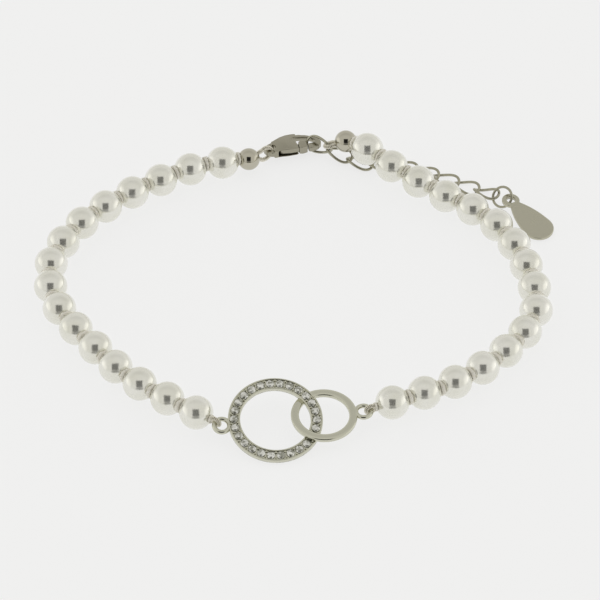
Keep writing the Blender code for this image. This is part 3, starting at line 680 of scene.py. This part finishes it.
def coil_path(path, guide, radius, pitch, steps):
    """Helix round a closed path: its angle grows evenly along it by whole turns."""
    step = np.linalg.norm(np.roll(path, -1, axis=0) - path, axis=1)
    length = step.sum()
    turns = int(round(length / pitch))
    at = np.concatenate([[0], np.cumsum(step)])
    whole = np.vstack([path, path[:1]])
    want = np.linspace(0, length, turns * steps, endpoint=False)
    dense = np.stack([np.interp(want, at, whole[:, k]) for k in range(3)], axis=1)
    ahead, first, second = path_frames(dense, guide, True)
    angle = (np.arange(turns * steps) * 2 * np.pi / steps)[:, None]
    helix = dense + radius * (np.cos(angle) * first + np.sin(angle) * second)
    return helix, ahead, turns


BULLIONS = sorted(name for name in NODES if name.startswith("bullion_"))
for node in BULLIONS:
    middle, normal = loop_path(node, 160)
    helix, ahead, turns = coil_path(middle, normal, COIL_RADIUS, COIL_PITCH, 12)
    grid = tube_grid(helix, ahead, COIL_WIRE, 6, closed=True)
    coil = closed_surface(node + "_coil", grid, BULLION)
    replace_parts(coil, node)
    print(node, "turns of wire:", turns)

# %% [markdown]
# ## Chain
#
# A curb link is an oval that is twisted a little, so that identical links lie flat
# inside each other: its middle line rises and falls twice in one turn. The end ring
# is a plain circle of finer wire.

# %% Links and end ring
LINK_WIRE_RADIUS = 0.17 * MM
LINK_TWIST = 0.28 * MM
LINK_LENGTH = 3.62 * MM
LINK_WIDTH = 2.40 * MM


def link_path(centre, axes, half_length, half_width, twist, count):
    """Twisted oval: cosine along, sine across and a double sine out of its plane."""
    turn = np.linspace(0, 2 * np.pi, count, endpoint=False)[:, None]
    flat = half_length * np.cos(turn) * axes[0] + half_width * np.sin(turn) * axes[1]
    return centre + flat + twist * np.sin(2 * turn) * axes[2]


LINKS = sorted(name for name in NODES if name.startswith("chain_link_"))
for node in LINKS:
    centre, axes = placed_axes(node)
    half_length = LINK_LENGTH / 2 - LINK_WIRE_RADIUS
    half_width = LINK_WIDTH / 2 - LINK_WIRE_RADIUS
    path = link_path(centre, axes, half_length, half_width, LINK_TWIST, 72)
    grid = tube_grid(path, axes[2], LINK_WIRE_RADIUS, 14, closed=True)
    link = closed_surface(node + "_wire", grid, DRAWN_SILVER)
    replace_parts(link, node)

RING_RADIUS = 1.225 * MM
RING_WIRE = 0.155 * MM
centre, axes = placed_axes("end_ring")
path = link_path(centre, axes, RING_RADIUS, RING_RADIUS, 0.0, 72)
grid = tube_grid(path, axes[2], RING_WIRE, 14, closed=True)
ring = closed_surface("end_ring_wire", grid, DRAWN_SILVER)
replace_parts(ring, "end_ring")
print("chain links:", len(LINKS))

# %% [markdown]
# ## Tag
#
# The tag is blanked from sheet and tumbled, so it is flat with softly rounded edges.
# Its edge runs from the round eyelet to the full belly. The surface goes over the top
# from the outer edge to the hole, down the hole and back underneath, and so it closes
# on itself like a very uneven ring. Its small stamped mark is left bare.

# %% Tag outline
TAG_THICKNESS = 0.40 * MM
TAG_BELLY = 1.90 * MM
TAG_EYELET = 1.075 * MM
TAG_HOLE = 0.56 * MM
TAG_SPAN = 5.325 * MM
TAG_EDGE = 0.12 * MM
TAG_SHOULDER = np.radians(95)
TAG_NECK = np.radians(38)
TAG_FULLNESS = 0.49


def tag_outline(count):
    """Outer edge by arc length: belly arc, two parabolic sides and eyelet arc."""
    belly = np.linspace(-TAG_SHOULDER, TAG_SHOULDER, 60)[:, None]
    front = np.hstack([TAG_SPAN + TAG_BELLY * np.cos(belly), TAG_BELLY * np.sin(belly)])
    heading = np.array([-np.sin(TAG_SHOULDER), np.cos(TAG_SHOULDER)])
    start = front[-1]
    end = TAG_EYELET * np.array([np.cos(TAG_NECK), np.sin(TAG_NECK)])
    control = start + heading * TAG_SPAN * TAG_FULLNESS
    share = np.linspace(0, 1, 30)[1:-1, None]
    side = (1 - share) ** 2 * start + 2 * share * (1 - share) * control + share**2 * end
    arc = np.linspace(TAG_NECK, 2 * np.pi - TAG_NECK, 40)[:, None]
    back = TAG_EYELET * np.hstack([np.cos(arc), np.sin(arc)])
    loop = np.vstack([front, side, back, side[::-1] * [1, -1]])
    whole = np.vstack([loop, loop[:1]])
    at = np.concatenate([[0], np.cumsum(np.linalg.norm(np.diff(whole, axis=0), axis=1))])
    want = np.linspace(0, at[-1], count, endpoint=False)
    return np.stack([np.interp(want, at, whole[:, k]) for k in range(2)], axis=1)


outline = tag_outline(160)
print("tag outline, mm:", np.round(np.ptp(outline, axis=0) / MM, 2))

# %% Tag surface


def edge_rings(outline, inset, half, steps):
    """Rings that round an outline's edge: a quarter circle below it and one above."""
    ahead = np.roll(outline, -1, axis=0) - np.roll(outline, 1, axis=0)
    ahead = ahead / np.linalg.norm(ahead, axis=1)[:, None]
    inward = np.stack([-ahead[:, 1], ahead[:, 0]], axis=1)
    turn = np.linspace(-np.pi / 2, np.pi / 2, steps)
    rings = []
    for angle in turn:
        place = outline + inward * inset * (1 - np.cos(angle))
        height = np.sign(angle) * (half - inset) + inset * np.sin(angle)
        rings.append(np.hstack([place, np.full((len(place), 1), height)]))
    return np.array(rings)


def tag_piece(outline):
    """Loft over the tag: outer edge, straight over to the hole, down it and back under."""
    half = TAG_THICKNESS / 2
    outer = edge_rings(outline, TAG_EDGE, half, 9)
    spread = np.arctan2(outline[:, 1], outline[:, 0])
    hole = TAG_HOLE * np.stack([np.cos(spread), np.sin(spread)], axis=1)
    inner = edge_rings(hole, -TAG_EDGE, half, 9)[::-1]
    shares = np.linspace(0, 1, 8)[1:-1, None, None]
    over = outer[-1][None] * (1 - shares) + inner[0][None] * shares
    under = inner[-1][None] * (1 - shares) + outer[0][None] * shares
    return np.concatenate([outer, over, inner, under], axis=0)


flat = tag_piece(outline)
print("tag surface:", flat.shape[0], "rings of", flat.shape[1], "points")

# %% Tag in place


def tag_frame():
    """Place of the tag: its hole's centre and its axes, read from its flat top face."""
    points, mean, _, axes = main_axes("tag")
    normal = axes[:, 0] * np.sign(axes[2, 0])
    along = axes[:, 2]
    ring_centre, _ = placed_axes("end_ring")
    along = along * np.sign(np.dot(mean - ring_centre, along))
    reach = (points - mean) @ along
    middle = (points - mean) @ normal
    tip = mean + along * reach.min() + normal * (middle.max() + middle.min()) / 2
    side = np.cross(normal, along)
    level = ((points - tip) @ side).max() + ((points - tip) @ side).min()
    return tip + along * TAG_EYELET + side * level / 2, along, side, normal


hole_centre, along, side, normal = tag_frame()
grid = hole_centre + flat[..., 0:1] * along + flat[..., 1:2] * side + flat[..., 2:3] * normal
tag = closed_surface("tag_plate", grid, STAMPED_SILVER)
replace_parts(tag, "tag")
print("tag hole at", np.round(hole_centre / MM, 2), "points", grid.shape[0] * grid.shape[1])

# %% [markdown]
# ## Linked circles
#
# The larger circle has a channel cut in its face, and the stones sit in the channel
# between two thin rims, each held by tiny beads of metal raised from the rims. The
# smaller circle is a plain band with a domed face. Both are turned sections, and
# their end loops are rings of wire.

# %% Ring sections and places
TURN = np.radians(8.2)
AXIS = np.array([np.cos(TURN), np.sin(TURN), 0.0])
SIDE = np.array([-np.sin(TURN), np.cos(TURN), 0.0])
PAVE_RADIUS = 5.40 * MM
PAVE_BAND = 1.38 * MM
PAVE_THICKNESS = 0.62 * MM
PAVE_TILT = np.radians(17.0)
PLAIN_RADIUS = 3.80 * MM
PLAIN_BAND = 0.94 * MM
PLAIN_THICKNESS = 0.56 * MM
PLAIN_TILT = np.radians(7.0)
RING_OVERLAP = 3.6 * MM
LOOP_RADIUS = 0.86 * MM
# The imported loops' wire places the circles. It is drawn fuller, as in the photograph.
LOOP_WIRE = 0.24 * MM
LOOP_FULL = 0.27 * MM


def tilted(tilt):
    """Axes of a circle that leans back about the connector's axis."""
    normal = UP * np.cos(tilt) - SIDE * np.sin(tilt)
    return np.array([AXIS, np.cross(normal, AXIS), normal])


def band_section(points, resolution):
    """Closed section through corner points, with a few extra points on each side."""
    points = np.array(points)
    share = np.linspace(0, 1, resolution, endpoint=False)[None, :, None]
    ahead = np.roll(points, -1, axis=0)
    return (points[:, None] * (1 - share) + ahead[:, None] * share).reshape(-1, 2)


def ring_grid(section, centre, axes, sides):
    """Section turned round a circle's normal."""
    angle = np.linspace(0, 2 * np.pi, sides, endpoint=False)[:, None, None]
    spread = np.cos(angle) * axes[0] + np.sin(angle) * axes[1]
    return centre + section[None, :, 0:1] * spread + section[None, :, 1:2] * axes[2]


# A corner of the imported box, plus the circle's own reach each way, gives its centre.
low = np.array(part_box("linked_circles")[0])
pave_axes, plain_axes = tilted(PAVE_TILT), tilted(PLAIN_TILT)
height = PAVE_RADIUS * np.sin(PAVE_TILT) + PAVE_THICKNESS / 2 * np.cos(PAVE_TILT)
front = np.hypot(PAVE_RADIUS * np.cos(PAVE_TILT) * np.cos(TURN), PAVE_RADIUS * np.sin(TURN))
front = front + PAVE_THICKNESS / 2 * np.sin(PAVE_TILT) * np.cos(TURN)
reach = LOOP_RADIUS - LOOP_WIRE / 2
left_end = (PAVE_RADIUS + reach + LOOP_RADIUS + LOOP_WIRE) * np.cos(TURN)
pave_centre = np.array([low[0] + left_end, low[1] + front, low[2] + height])
plain_centre = pave_centre + AXIS * (PAVE_RADIUS + PLAIN_RADIUS - RING_OVERLAP)
print("pave centre", np.round(pave_centre / MM, 3), "plain", np.round(plain_centre / MM, 3))

# %% [markdown]
# The stone-set band's section is a box with softened corners and a channel in its face.
# The plain band's section is a rounded box: the cosine and the sine of an angle, each
# to a power below one, which makes an oval squarer. A smaller power makes its underside
# flatter than its face.

# %% Bands and end loops
PAVE_CHANNEL = 0.14 * MM
PAVE_RIM = 0.17 * MM
SQUARENESS = 0.62
UNDERSIDE_SHARE = 0.55
half = PAVE_THICKNESS / 2
inner = PAVE_RADIUS - PAVE_BAND
soft = 0.035 * MM
pave_section = band_section(
    [
        (inner, half - soft),
        (inner + soft, half),
        (inner + PAVE_RIM - soft, half),
        (inner + PAVE_RIM, half - soft),
        (inner + PAVE_RIM, half - PAVE_CHANNEL),
        (PAVE_RADIUS - PAVE_RIM, half - PAVE_CHANNEL),
        (PAVE_RADIUS - PAVE_RIM, half - soft),
        (PAVE_RADIUS - PAVE_RIM + soft, half),
        (PAVE_RADIUS - soft, half),
        (PAVE_RADIUS, half - soft),
        (PAVE_RADIUS, -half + soft),
        (PAVE_RADIUS - soft, -half),
        (inner + soft, -half),
        (inner, -half + soft),
    ],
    2,
)
pave = closed_surface(
    "pave_circle_band", ring_grid(pave_section, pave_centre, pave_axes, 160), SILVER
)
pave.data.set_sharp_from_angle(angle=np.radians(50))

turn = np.linspace(0, 2 * np.pi, 28, endpoint=False)
wide, tall = np.cos(turn), np.sin(turn)
power = SQUARENESS * np.where(tall > 0, 1.0, UNDERSIDE_SHARE)
half_band, half_plain = PLAIN_BAND / 2, PLAIN_THICKNESS / 2
out = PLAIN_RADIUS - half_band + half_band * np.sign(wide) * np.abs(wide) ** SQUARENESS
plain_section = np.stack([out, half_plain * np.sign(tall) * np.abs(tall) ** power], axis=1)
plain = closed_surface(
    "plain_circle_band", ring_grid(plain_section, plain_centre, plain_axes, 140), SILVER
)
loops = {
    "pave_circle_end_loop": (pave_centre - AXIS * (PAVE_RADIUS + reach), pave_axes),
    "plain_circle_end_loop": (plain_centre + AXIS * (PLAIN_RADIUS + reach), plain_axes),
}
for name, (centre, axes) in loops.items():
    path = link_path(centre, axes, LOOP_RADIUS, LOOP_RADIUS, 0.0, 64)
    closed_surface(name, tube_grid(path, axes[2], LOOP_FULL, 16, closed=True), SILVER)
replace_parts(pave, "linked_circles")
print("bands:", len(pave.data.polygons), len(plain.data.polygons), "faces")

# %% [markdown]
# ## Stones
#
# Each stone is a small round brilliant: a flat table, a crown of sloping facets, a thin
# girdle and a pointed pavilion below. Flat facets matter more than any texture, because
# each one mirrors another part of the room. Between two stones, a pair of tiny metal
# beads holds both.

# %% Brilliant cut stones and their beads
STONE_COUNT = 26
STONE_RADIUS = 0.51 * MM
STONE_TABLE = 0.27 * MM
CROWN = 0.16 * MM
PAVILION = 0.30 * MM
GIRDLE_HALF = 0.02 * MM
STAR_RISE = 0.52
SEAT_DEPTH = 0.06 * MM
GRIP_RADIUS = 0.12 * MM
GRIP_OFFSET = 0.36 * MM
GRIP_DEPTH = 0.02 * MM


def brilliant():
    """Points and triangles of one stone: table, star points, girdle and culet."""
    eight = np.arange(8) * np.pi / 4
    sixteen = np.arange(16) * np.pi / 8
    star = 0.5 * (STONE_TABLE + STONE_RADIUS)
    rings = [
        (STONE_TABLE, CROWN, eight),
        (star, STAR_RISE * CROWN, eight + np.pi / 8),
        (STONE_RADIUS, GIRDLE_HALF, sixteen),
        (STONE_RADIUS, -GIRDLE_HALF, sixteen),
    ]
    parts = [
        np.stack([r * np.cos(a), r * np.sin(a), np.full_like(a, z)], axis=1)
        for r, z, a in rings
    ]
    points = np.vstack([*parts, [[0, 0, CROWN]], [[0, 0, -PAVILION]]])
    k, n = np.arange(8), (np.arange(8) + 1) % 8
    g, h = np.arange(16), (np.arange(16) + 1) % 16
    table, star_row, upper, lower = 0, 8, 16, 32
    top, culet = 48, 49
    even, odd, after = 2 * k, 2 * k + 1, (2 * k + 2) % 16
    facets = [
        np.stack([np.full(8, top), table + k, table + n], axis=1),
        np.stack([table + k, star_row + k, table + n], axis=1),
        np.stack([table + k, upper + even, star_row + k], axis=1),
        np.stack([star_row + k, upper + after, table + n], axis=1),
        np.stack([star_row + k, upper + even, upper + odd], axis=1),
        np.stack([star_row + k, upper + odd, upper + after], axis=1),
        np.stack([upper + g, lower + g, lower + h], axis=1),
        np.stack([upper + g, lower + h, upper + h], axis=1),
        np.stack([lower + g, np.full(16, culet), lower + h], axis=1),
    ]
    return points, np.vstack(facets)


def repeat_on_ring(points, faces, places, ring_centre, axes, spins):
    """Copies of a small mesh at places given as radius, angle and height on a circle."""
    spin = np.array(spins)[:, None]
    x = points[None, :, 0] * np.cos(spin) - points[None, :, 1] * np.sin(spin)
    y = points[None, :, 0] * np.sin(spin) + points[None, :, 1] * np.cos(spin)
    radius, angle, height = (np.array(column)[:, None] for column in zip(*places))
    out = np.cos(angle)[..., None] * axes[0] + np.sin(angle)[..., None] * axes[1]
    round_ = -np.sin(angle)[..., None] * axes[0] + np.cos(angle)[..., None] * axes[1]
    up = (height + points[None, :, 2])[..., None] * axes[2]
    whole = ring_centre + (radius + x)[..., None] * out + y[..., None] * round_ + up
    offsets = (np.arange(len(places)) * len(points))[:, None, None]
    return whole.reshape(-1, 3), (faces[None] + offsets).reshape(-1, faces.shape[1])


def small_ball(radius, rows, columns):
    """Points of a ball by polar and turning angle, with a tiny ring at each pole."""
    polar = np.linspace(0.02, np.pi - 0.02, rows)[:, None]
    turn = np.linspace(0, 2 * np.pi, columns, endpoint=False)[None, :]
    x, y = np.sin(polar) * np.cos(turn), np.sin(polar) * np.sin(turn)
    z = np.cos(polar) * np.ones_like(turn)
    return radius * np.stack([x, y, z], axis=-1).reshape(-1, 3)


middle = PAVE_RADIUS - PAVE_BAND / 2
step = 2 * np.pi / STONE_COUNT
angles = (np.arange(STONE_COUNT) + 0.5) * step
seat = half - SEAT_DEPTH
places = [(middle, angle, seat) for angle in angles]
spins = np.random.default_rng(7).uniform(0, np.pi / 4, STONE_COUNT)
points, facets = brilliant()
points, facets = repeat_on_ring(points, facets, places, pave_centre, pave_axes, spins)
stones = mesh_from("pave_stones", points, facets, STONE, smooth=False)
point_outwards(stones)

ball = small_ball(GRIP_RADIUS, 7, 10)
quads = grid_faces(7, 10, False, True)
grips = []
for angle in angles + step / 2:
    for offset in (-GRIP_OFFSET, GRIP_OFFSET):
        grips.append((middle + offset, angle, half - GRIP_DEPTH))
points, faces = repeat_on_ring(ball, quads, grips, pave_centre, pave_axes, [0] * len(grips))
beads = mesh_from("pave_grips", points, faces, SILVER)
point_outwards(beads)
print("stones:", STONE_COUNT, "facets", len(stones.data.polygons), "grips", len(grips))

# %% [markdown]
# ## Clasp
#
# The clasp is cast and tumbled, so every edge is soft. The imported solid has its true
# outline with crisp edges. A voxel remesh gives its surface small even squares, and a
# few rounds of smoothing melt the edges as tumbling does. Then the casting is thinned
# above and below its slot: towards its two long edges, which makes it a pillow, at the
# eyelet, and a little past half-way along. The lever gets the same treatment on its own
# body.

# %% Tumbled castings
CLASP_TURN = np.radians(13.4)
CLASP_HALF_WIDTH = 1.5 * MM
CLASP_LENGTH = 7.2 * MM
# Places along it from the eyelet's end to the hook's, and the thickness kept at each.
CLASP_SHARES = [0.15, 0.20, 0.38, 0.61, 0.63]
CLASP_FULLNESS = [0.10, 0.30, 1.00, 0.10, 1.00]
SLOT_HALF = 0.46 * MM
PILLOW = 0.85
WELD = 0.0001 * MM
low, high = (np.array(corner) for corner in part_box("clasp_body"))
CLASP_CENTRE = (low + high) / 2


def pillow(mesh):
    """Thin a casting outside its slot by the square of its width and by shares along it."""
    points = points_of(mesh)
    length = np.array([np.cos(CLASP_TURN), np.sin(CLASP_TURN), 0.0])
    across = np.cross(UP, length)
    wide = np.clip(np.abs((points - CLASP_CENTRE) @ across) / CLASP_HALF_WIDTH, 0, 1)
    along = ((points - CLASP_CENTRE) @ length) / CLASP_LENGTH + 0.5
    hump = np.interp(along, CLASP_SHARES, CLASP_FULLNESS)
    height = points[:, 2] - CLASP_CENTRE[2]
    proud = np.maximum(np.abs(height) - SLOT_HALF, 0)
    keep = (1 - PILLOW * wide**2) * hump
    inside = np.minimum(np.abs(height), SLOT_HALF)
    points[:, 2] = CLASP_CENTRE[2] + np.sign(height) * (inside + proud * keep)
    mesh.vertices.foreach_set("co", points.astype(np.float32).ravel())
    mesh.update()


def tumbled(node, name, voxel, rounds, body):
    """Copy of a solid, remeshed in small cells and smoothed like a tumbled casting."""
    source = bpy.data.objects[node].data.copy()
    work = bmesh.new()
    work.from_mesh(source)
    bmesh.ops.remove_doubles(work, verts=work.verts, dist=WELD)
    work.to_mesh(source)
    work.free()
    rough = bpy.data.objects.new(name + "_rough", source)
    bpy.context.scene.collection.objects.link(rough)
    cells = rough.modifiers.new("cells", "REMESH")
    cells.mode = "VOXEL"
    cells.voxel_size = voxel
    soft = rough.modifiers.new("tumble", "SMOOTH")
    soft.factor = 0.5
    soft.iterations = rounds
    bpy.context.view_layer.update()
    graph = bpy.context.evaluated_depsgraph_get()
    mesh = bpy.data.meshes.new_from_object(rough.evaluated_get(graph))
    bpy.data.objects.remove(rough, do_unlink=True)
    pillow(mesh)
    mesh.name = name
    mesh.shade_smooth()
    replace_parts(show(name, mesh, CAST_SILVER, body), node)
    print(name, "faces", len(mesh.polygons))


tumbled("clasp_body", "clasp_body_cast", voxel=0.045 * MM, rounds=26, body=BODY)
tumbled("clasp_lever", "clasp_lever_cast", voxel=0.040 * MM, rounds=10, body=LEVER_BODY)

# %% [markdown]
# ## Table
#
# The bracelet lies on a pale opal sheet inside a light tent, so it has almost no
# shadow. The sheet glows evenly and scatters a little of the tent's light, and it lies
# a hair below the bracelet, so that the two never meet.

# %% Table
TABLE_HALF = 3.0
TABLE_GLOW = 0.74
TABLE_DROP = 0.02 * MM
TABLE_CORNERS = ((-1, -1), (1, -1), (1, 1), (-1, 1))
table_points = [(x * TABLE_HALF, y * TABLE_HALF, -TABLE_DROP) for x, y in TABLE_CORNERS]
settings = {"Roughness": 0.9, "Specular IOR Level": 0.0}
# Opal sheet with light behind it: even and pale, so the eye rests on the bracelet.
table_material, _, table_shader = new_material("opal_light_table", "#7a7a79", settings)
table_shader.inputs["Emission Color"].default_value = linear("#ffffff")
table_shader.inputs["Emission Strength"].default_value = TABLE_GLOW
mesh = bpy.data.meshes.new("table")
mesh.from_pydata(table_points, [], [(0, 1, 2, 3)])
mesh.materials.append(table_material)
table = bpy.data.objects.new("table", mesh)
bpy.context.scene.collection.objects.link(table)
print("table:", 2 * TABLE_HALF, "m wide")

# %% [markdown]
# ## Camera
#
# The camera's height and distance were fitted to the places of the pearls in the
# photograph. It looks from far away through a long lens, which keeps the pearls at the
# back almost as large as those in front.

# %% Camera
ELEVATION = np.radians(41.65)
CAMERA_DISTANCE = 0.52043
FOCAL_PIXELS = 4447.0
IMAGE_PIXELS = 600
SENSOR = 36.0
TARGET_SHIFT = np.array([2.8, 20.4, 0.15]) * MM
target = pave_centre + TARGET_SHIFT
toward = np.array([0.0, -np.cos(ELEVATION), np.sin(ELEVATION)])
camera_data = bpy.data.cameras.new("camera")
camera_data.sensor_width = SENSOR
camera_data.lens = SENSOR * FOCAL_PIXELS / IMAGE_PIXELS
camera_data.clip_start = 0.01
camera = bpy.data.objects.new("camera", camera_data)
camera.location = target + toward * CAMERA_DISTANCE
camera.rotation_euler = (np.pi / 2 - ELEVATION, 0.0, 0.0)
bpy.context.scene.collection.objects.link(camera)
bpy.context.scene.camera = camera
print("camera at", np.round(np.array(camera.location), 4))

# %% [markdown]
# ## Light tent
#
# The tent is the world. The camera looks in through a dark square opening, which is
# what the middle of each pearl and bead mirrors. Low at the front the tent is grey, at
# its two sides it is brightest, and its far wall and the whole half on the camera's
# side are a little dimmer. Each of these is a soft step from one value to another along
# one direction of the room, and all the steps are multiplied.

# %% Light tent
OPENING_HALF_ANGLE = np.radians(21.0)
# The opening's edge fades between these shares of its half angle.
EDGE_SHARES = (0.85, 1.2)


def soft_steps(tree, place, rows):
    """Product of soft steps along directions of the room: low, high, first and last value."""
    total = None
    for direction, low, high, first, last in rows:
        along = add_node(tree, "ShaderNodeVectorMath", {"operation": "DOT_PRODUCT"})
        tree.links.new(place, along.inputs[0])
        along.inputs[1].default_value = direction
        settings = {"interpolation_type": "SMOOTHSTEP", "From Min": low, "From Max": high}
        settings.update({"To Min": first, "To Max": last})
        links = {"Value": along.outputs["Value"]}
        step = add_node(tree, "ShaderNodeMapRange", settings, links).outputs["Result"]
        if total is not None:
            node = add_node(tree, "ShaderNodeMath", {"operation": "MULTIPLY"})
            tree.links.new(total, node.inputs[0])
            tree.links.new(step, node.inputs[1])
            step = node.outputs["Value"]
        total = step
    return total


def light_tent():
    """World: a dark square opening, a grey lower front, two bright sides, a dim far wall."""
    world = bpy.data.worlds.new("light_tent")
    world.use_nodes = True
    bpy.context.scene.world = world
    tree = world.node_tree
    place = add_node(tree, "ShaderNodeTexCoord").outputs["Generated"]
    across, ahead = (1.0, 0.0, 0.0), (0.0, 1.0, 0.0)
    rise = (0.0, float(np.sin(ELEVATION)), float(np.cos(ELEVATION)))
    inner, outer = (float(np.sin(OPENING_HALF_ANGLE * share)) for share in EDGE_SHARES)
    # Each row: a direction, where its step starts and ends, and the values there.
    rows = [(tuple(toward), 0.1, 0.3, 0.0, 0.97)]
    for direction in (across, rise):
        rows.append((direction, -outer, -inner, 0.0, 1.0))
        rows.append((direction, inner, outer, 1.0, 0.0))
    hole = soft_steps(tree, place, rows)
    walls = [
        (ahead, -0.96, -0.87, 0.28, 1.0),
        (across, -0.98, -0.80, 1.40, 1.0),
        (across, 0.78, 0.98, 1.0, 1.50),
        (ahead, 0.0, 0.90, 1.03, 0.75),
        (tuple(toward), -0.35, 0.25, 1.0, 0.74),
    ]
    light = soft_steps(tree, place, walls)
    # What is left is the walls' light less the share that the opening takes from it.
    dark = add_node(tree, "ShaderNodeMath", {"operation": "MULTIPLY"})
    tree.links.new(light, dark.inputs[0])
    tree.links.new(hole, dark.inputs[1])
    strength = add_node(tree, "ShaderNodeMath", {"operation": "SUBTRACT"})
    tree.links.new(light, strength.inputs[0])
    tree.links.new(dark.outputs["Value"], strength.inputs[1])
    back = tree.nodes["Background"]
    back.inputs["Color"].default_value = linear("#fffefa")
    tree.links.new(strength.outputs["Value"], back.inputs["Strength"])


light_tent()
bpy.context.scene.view_settings.view_transform = "Standard"
print("world:", bpy.context.scene.world.name)
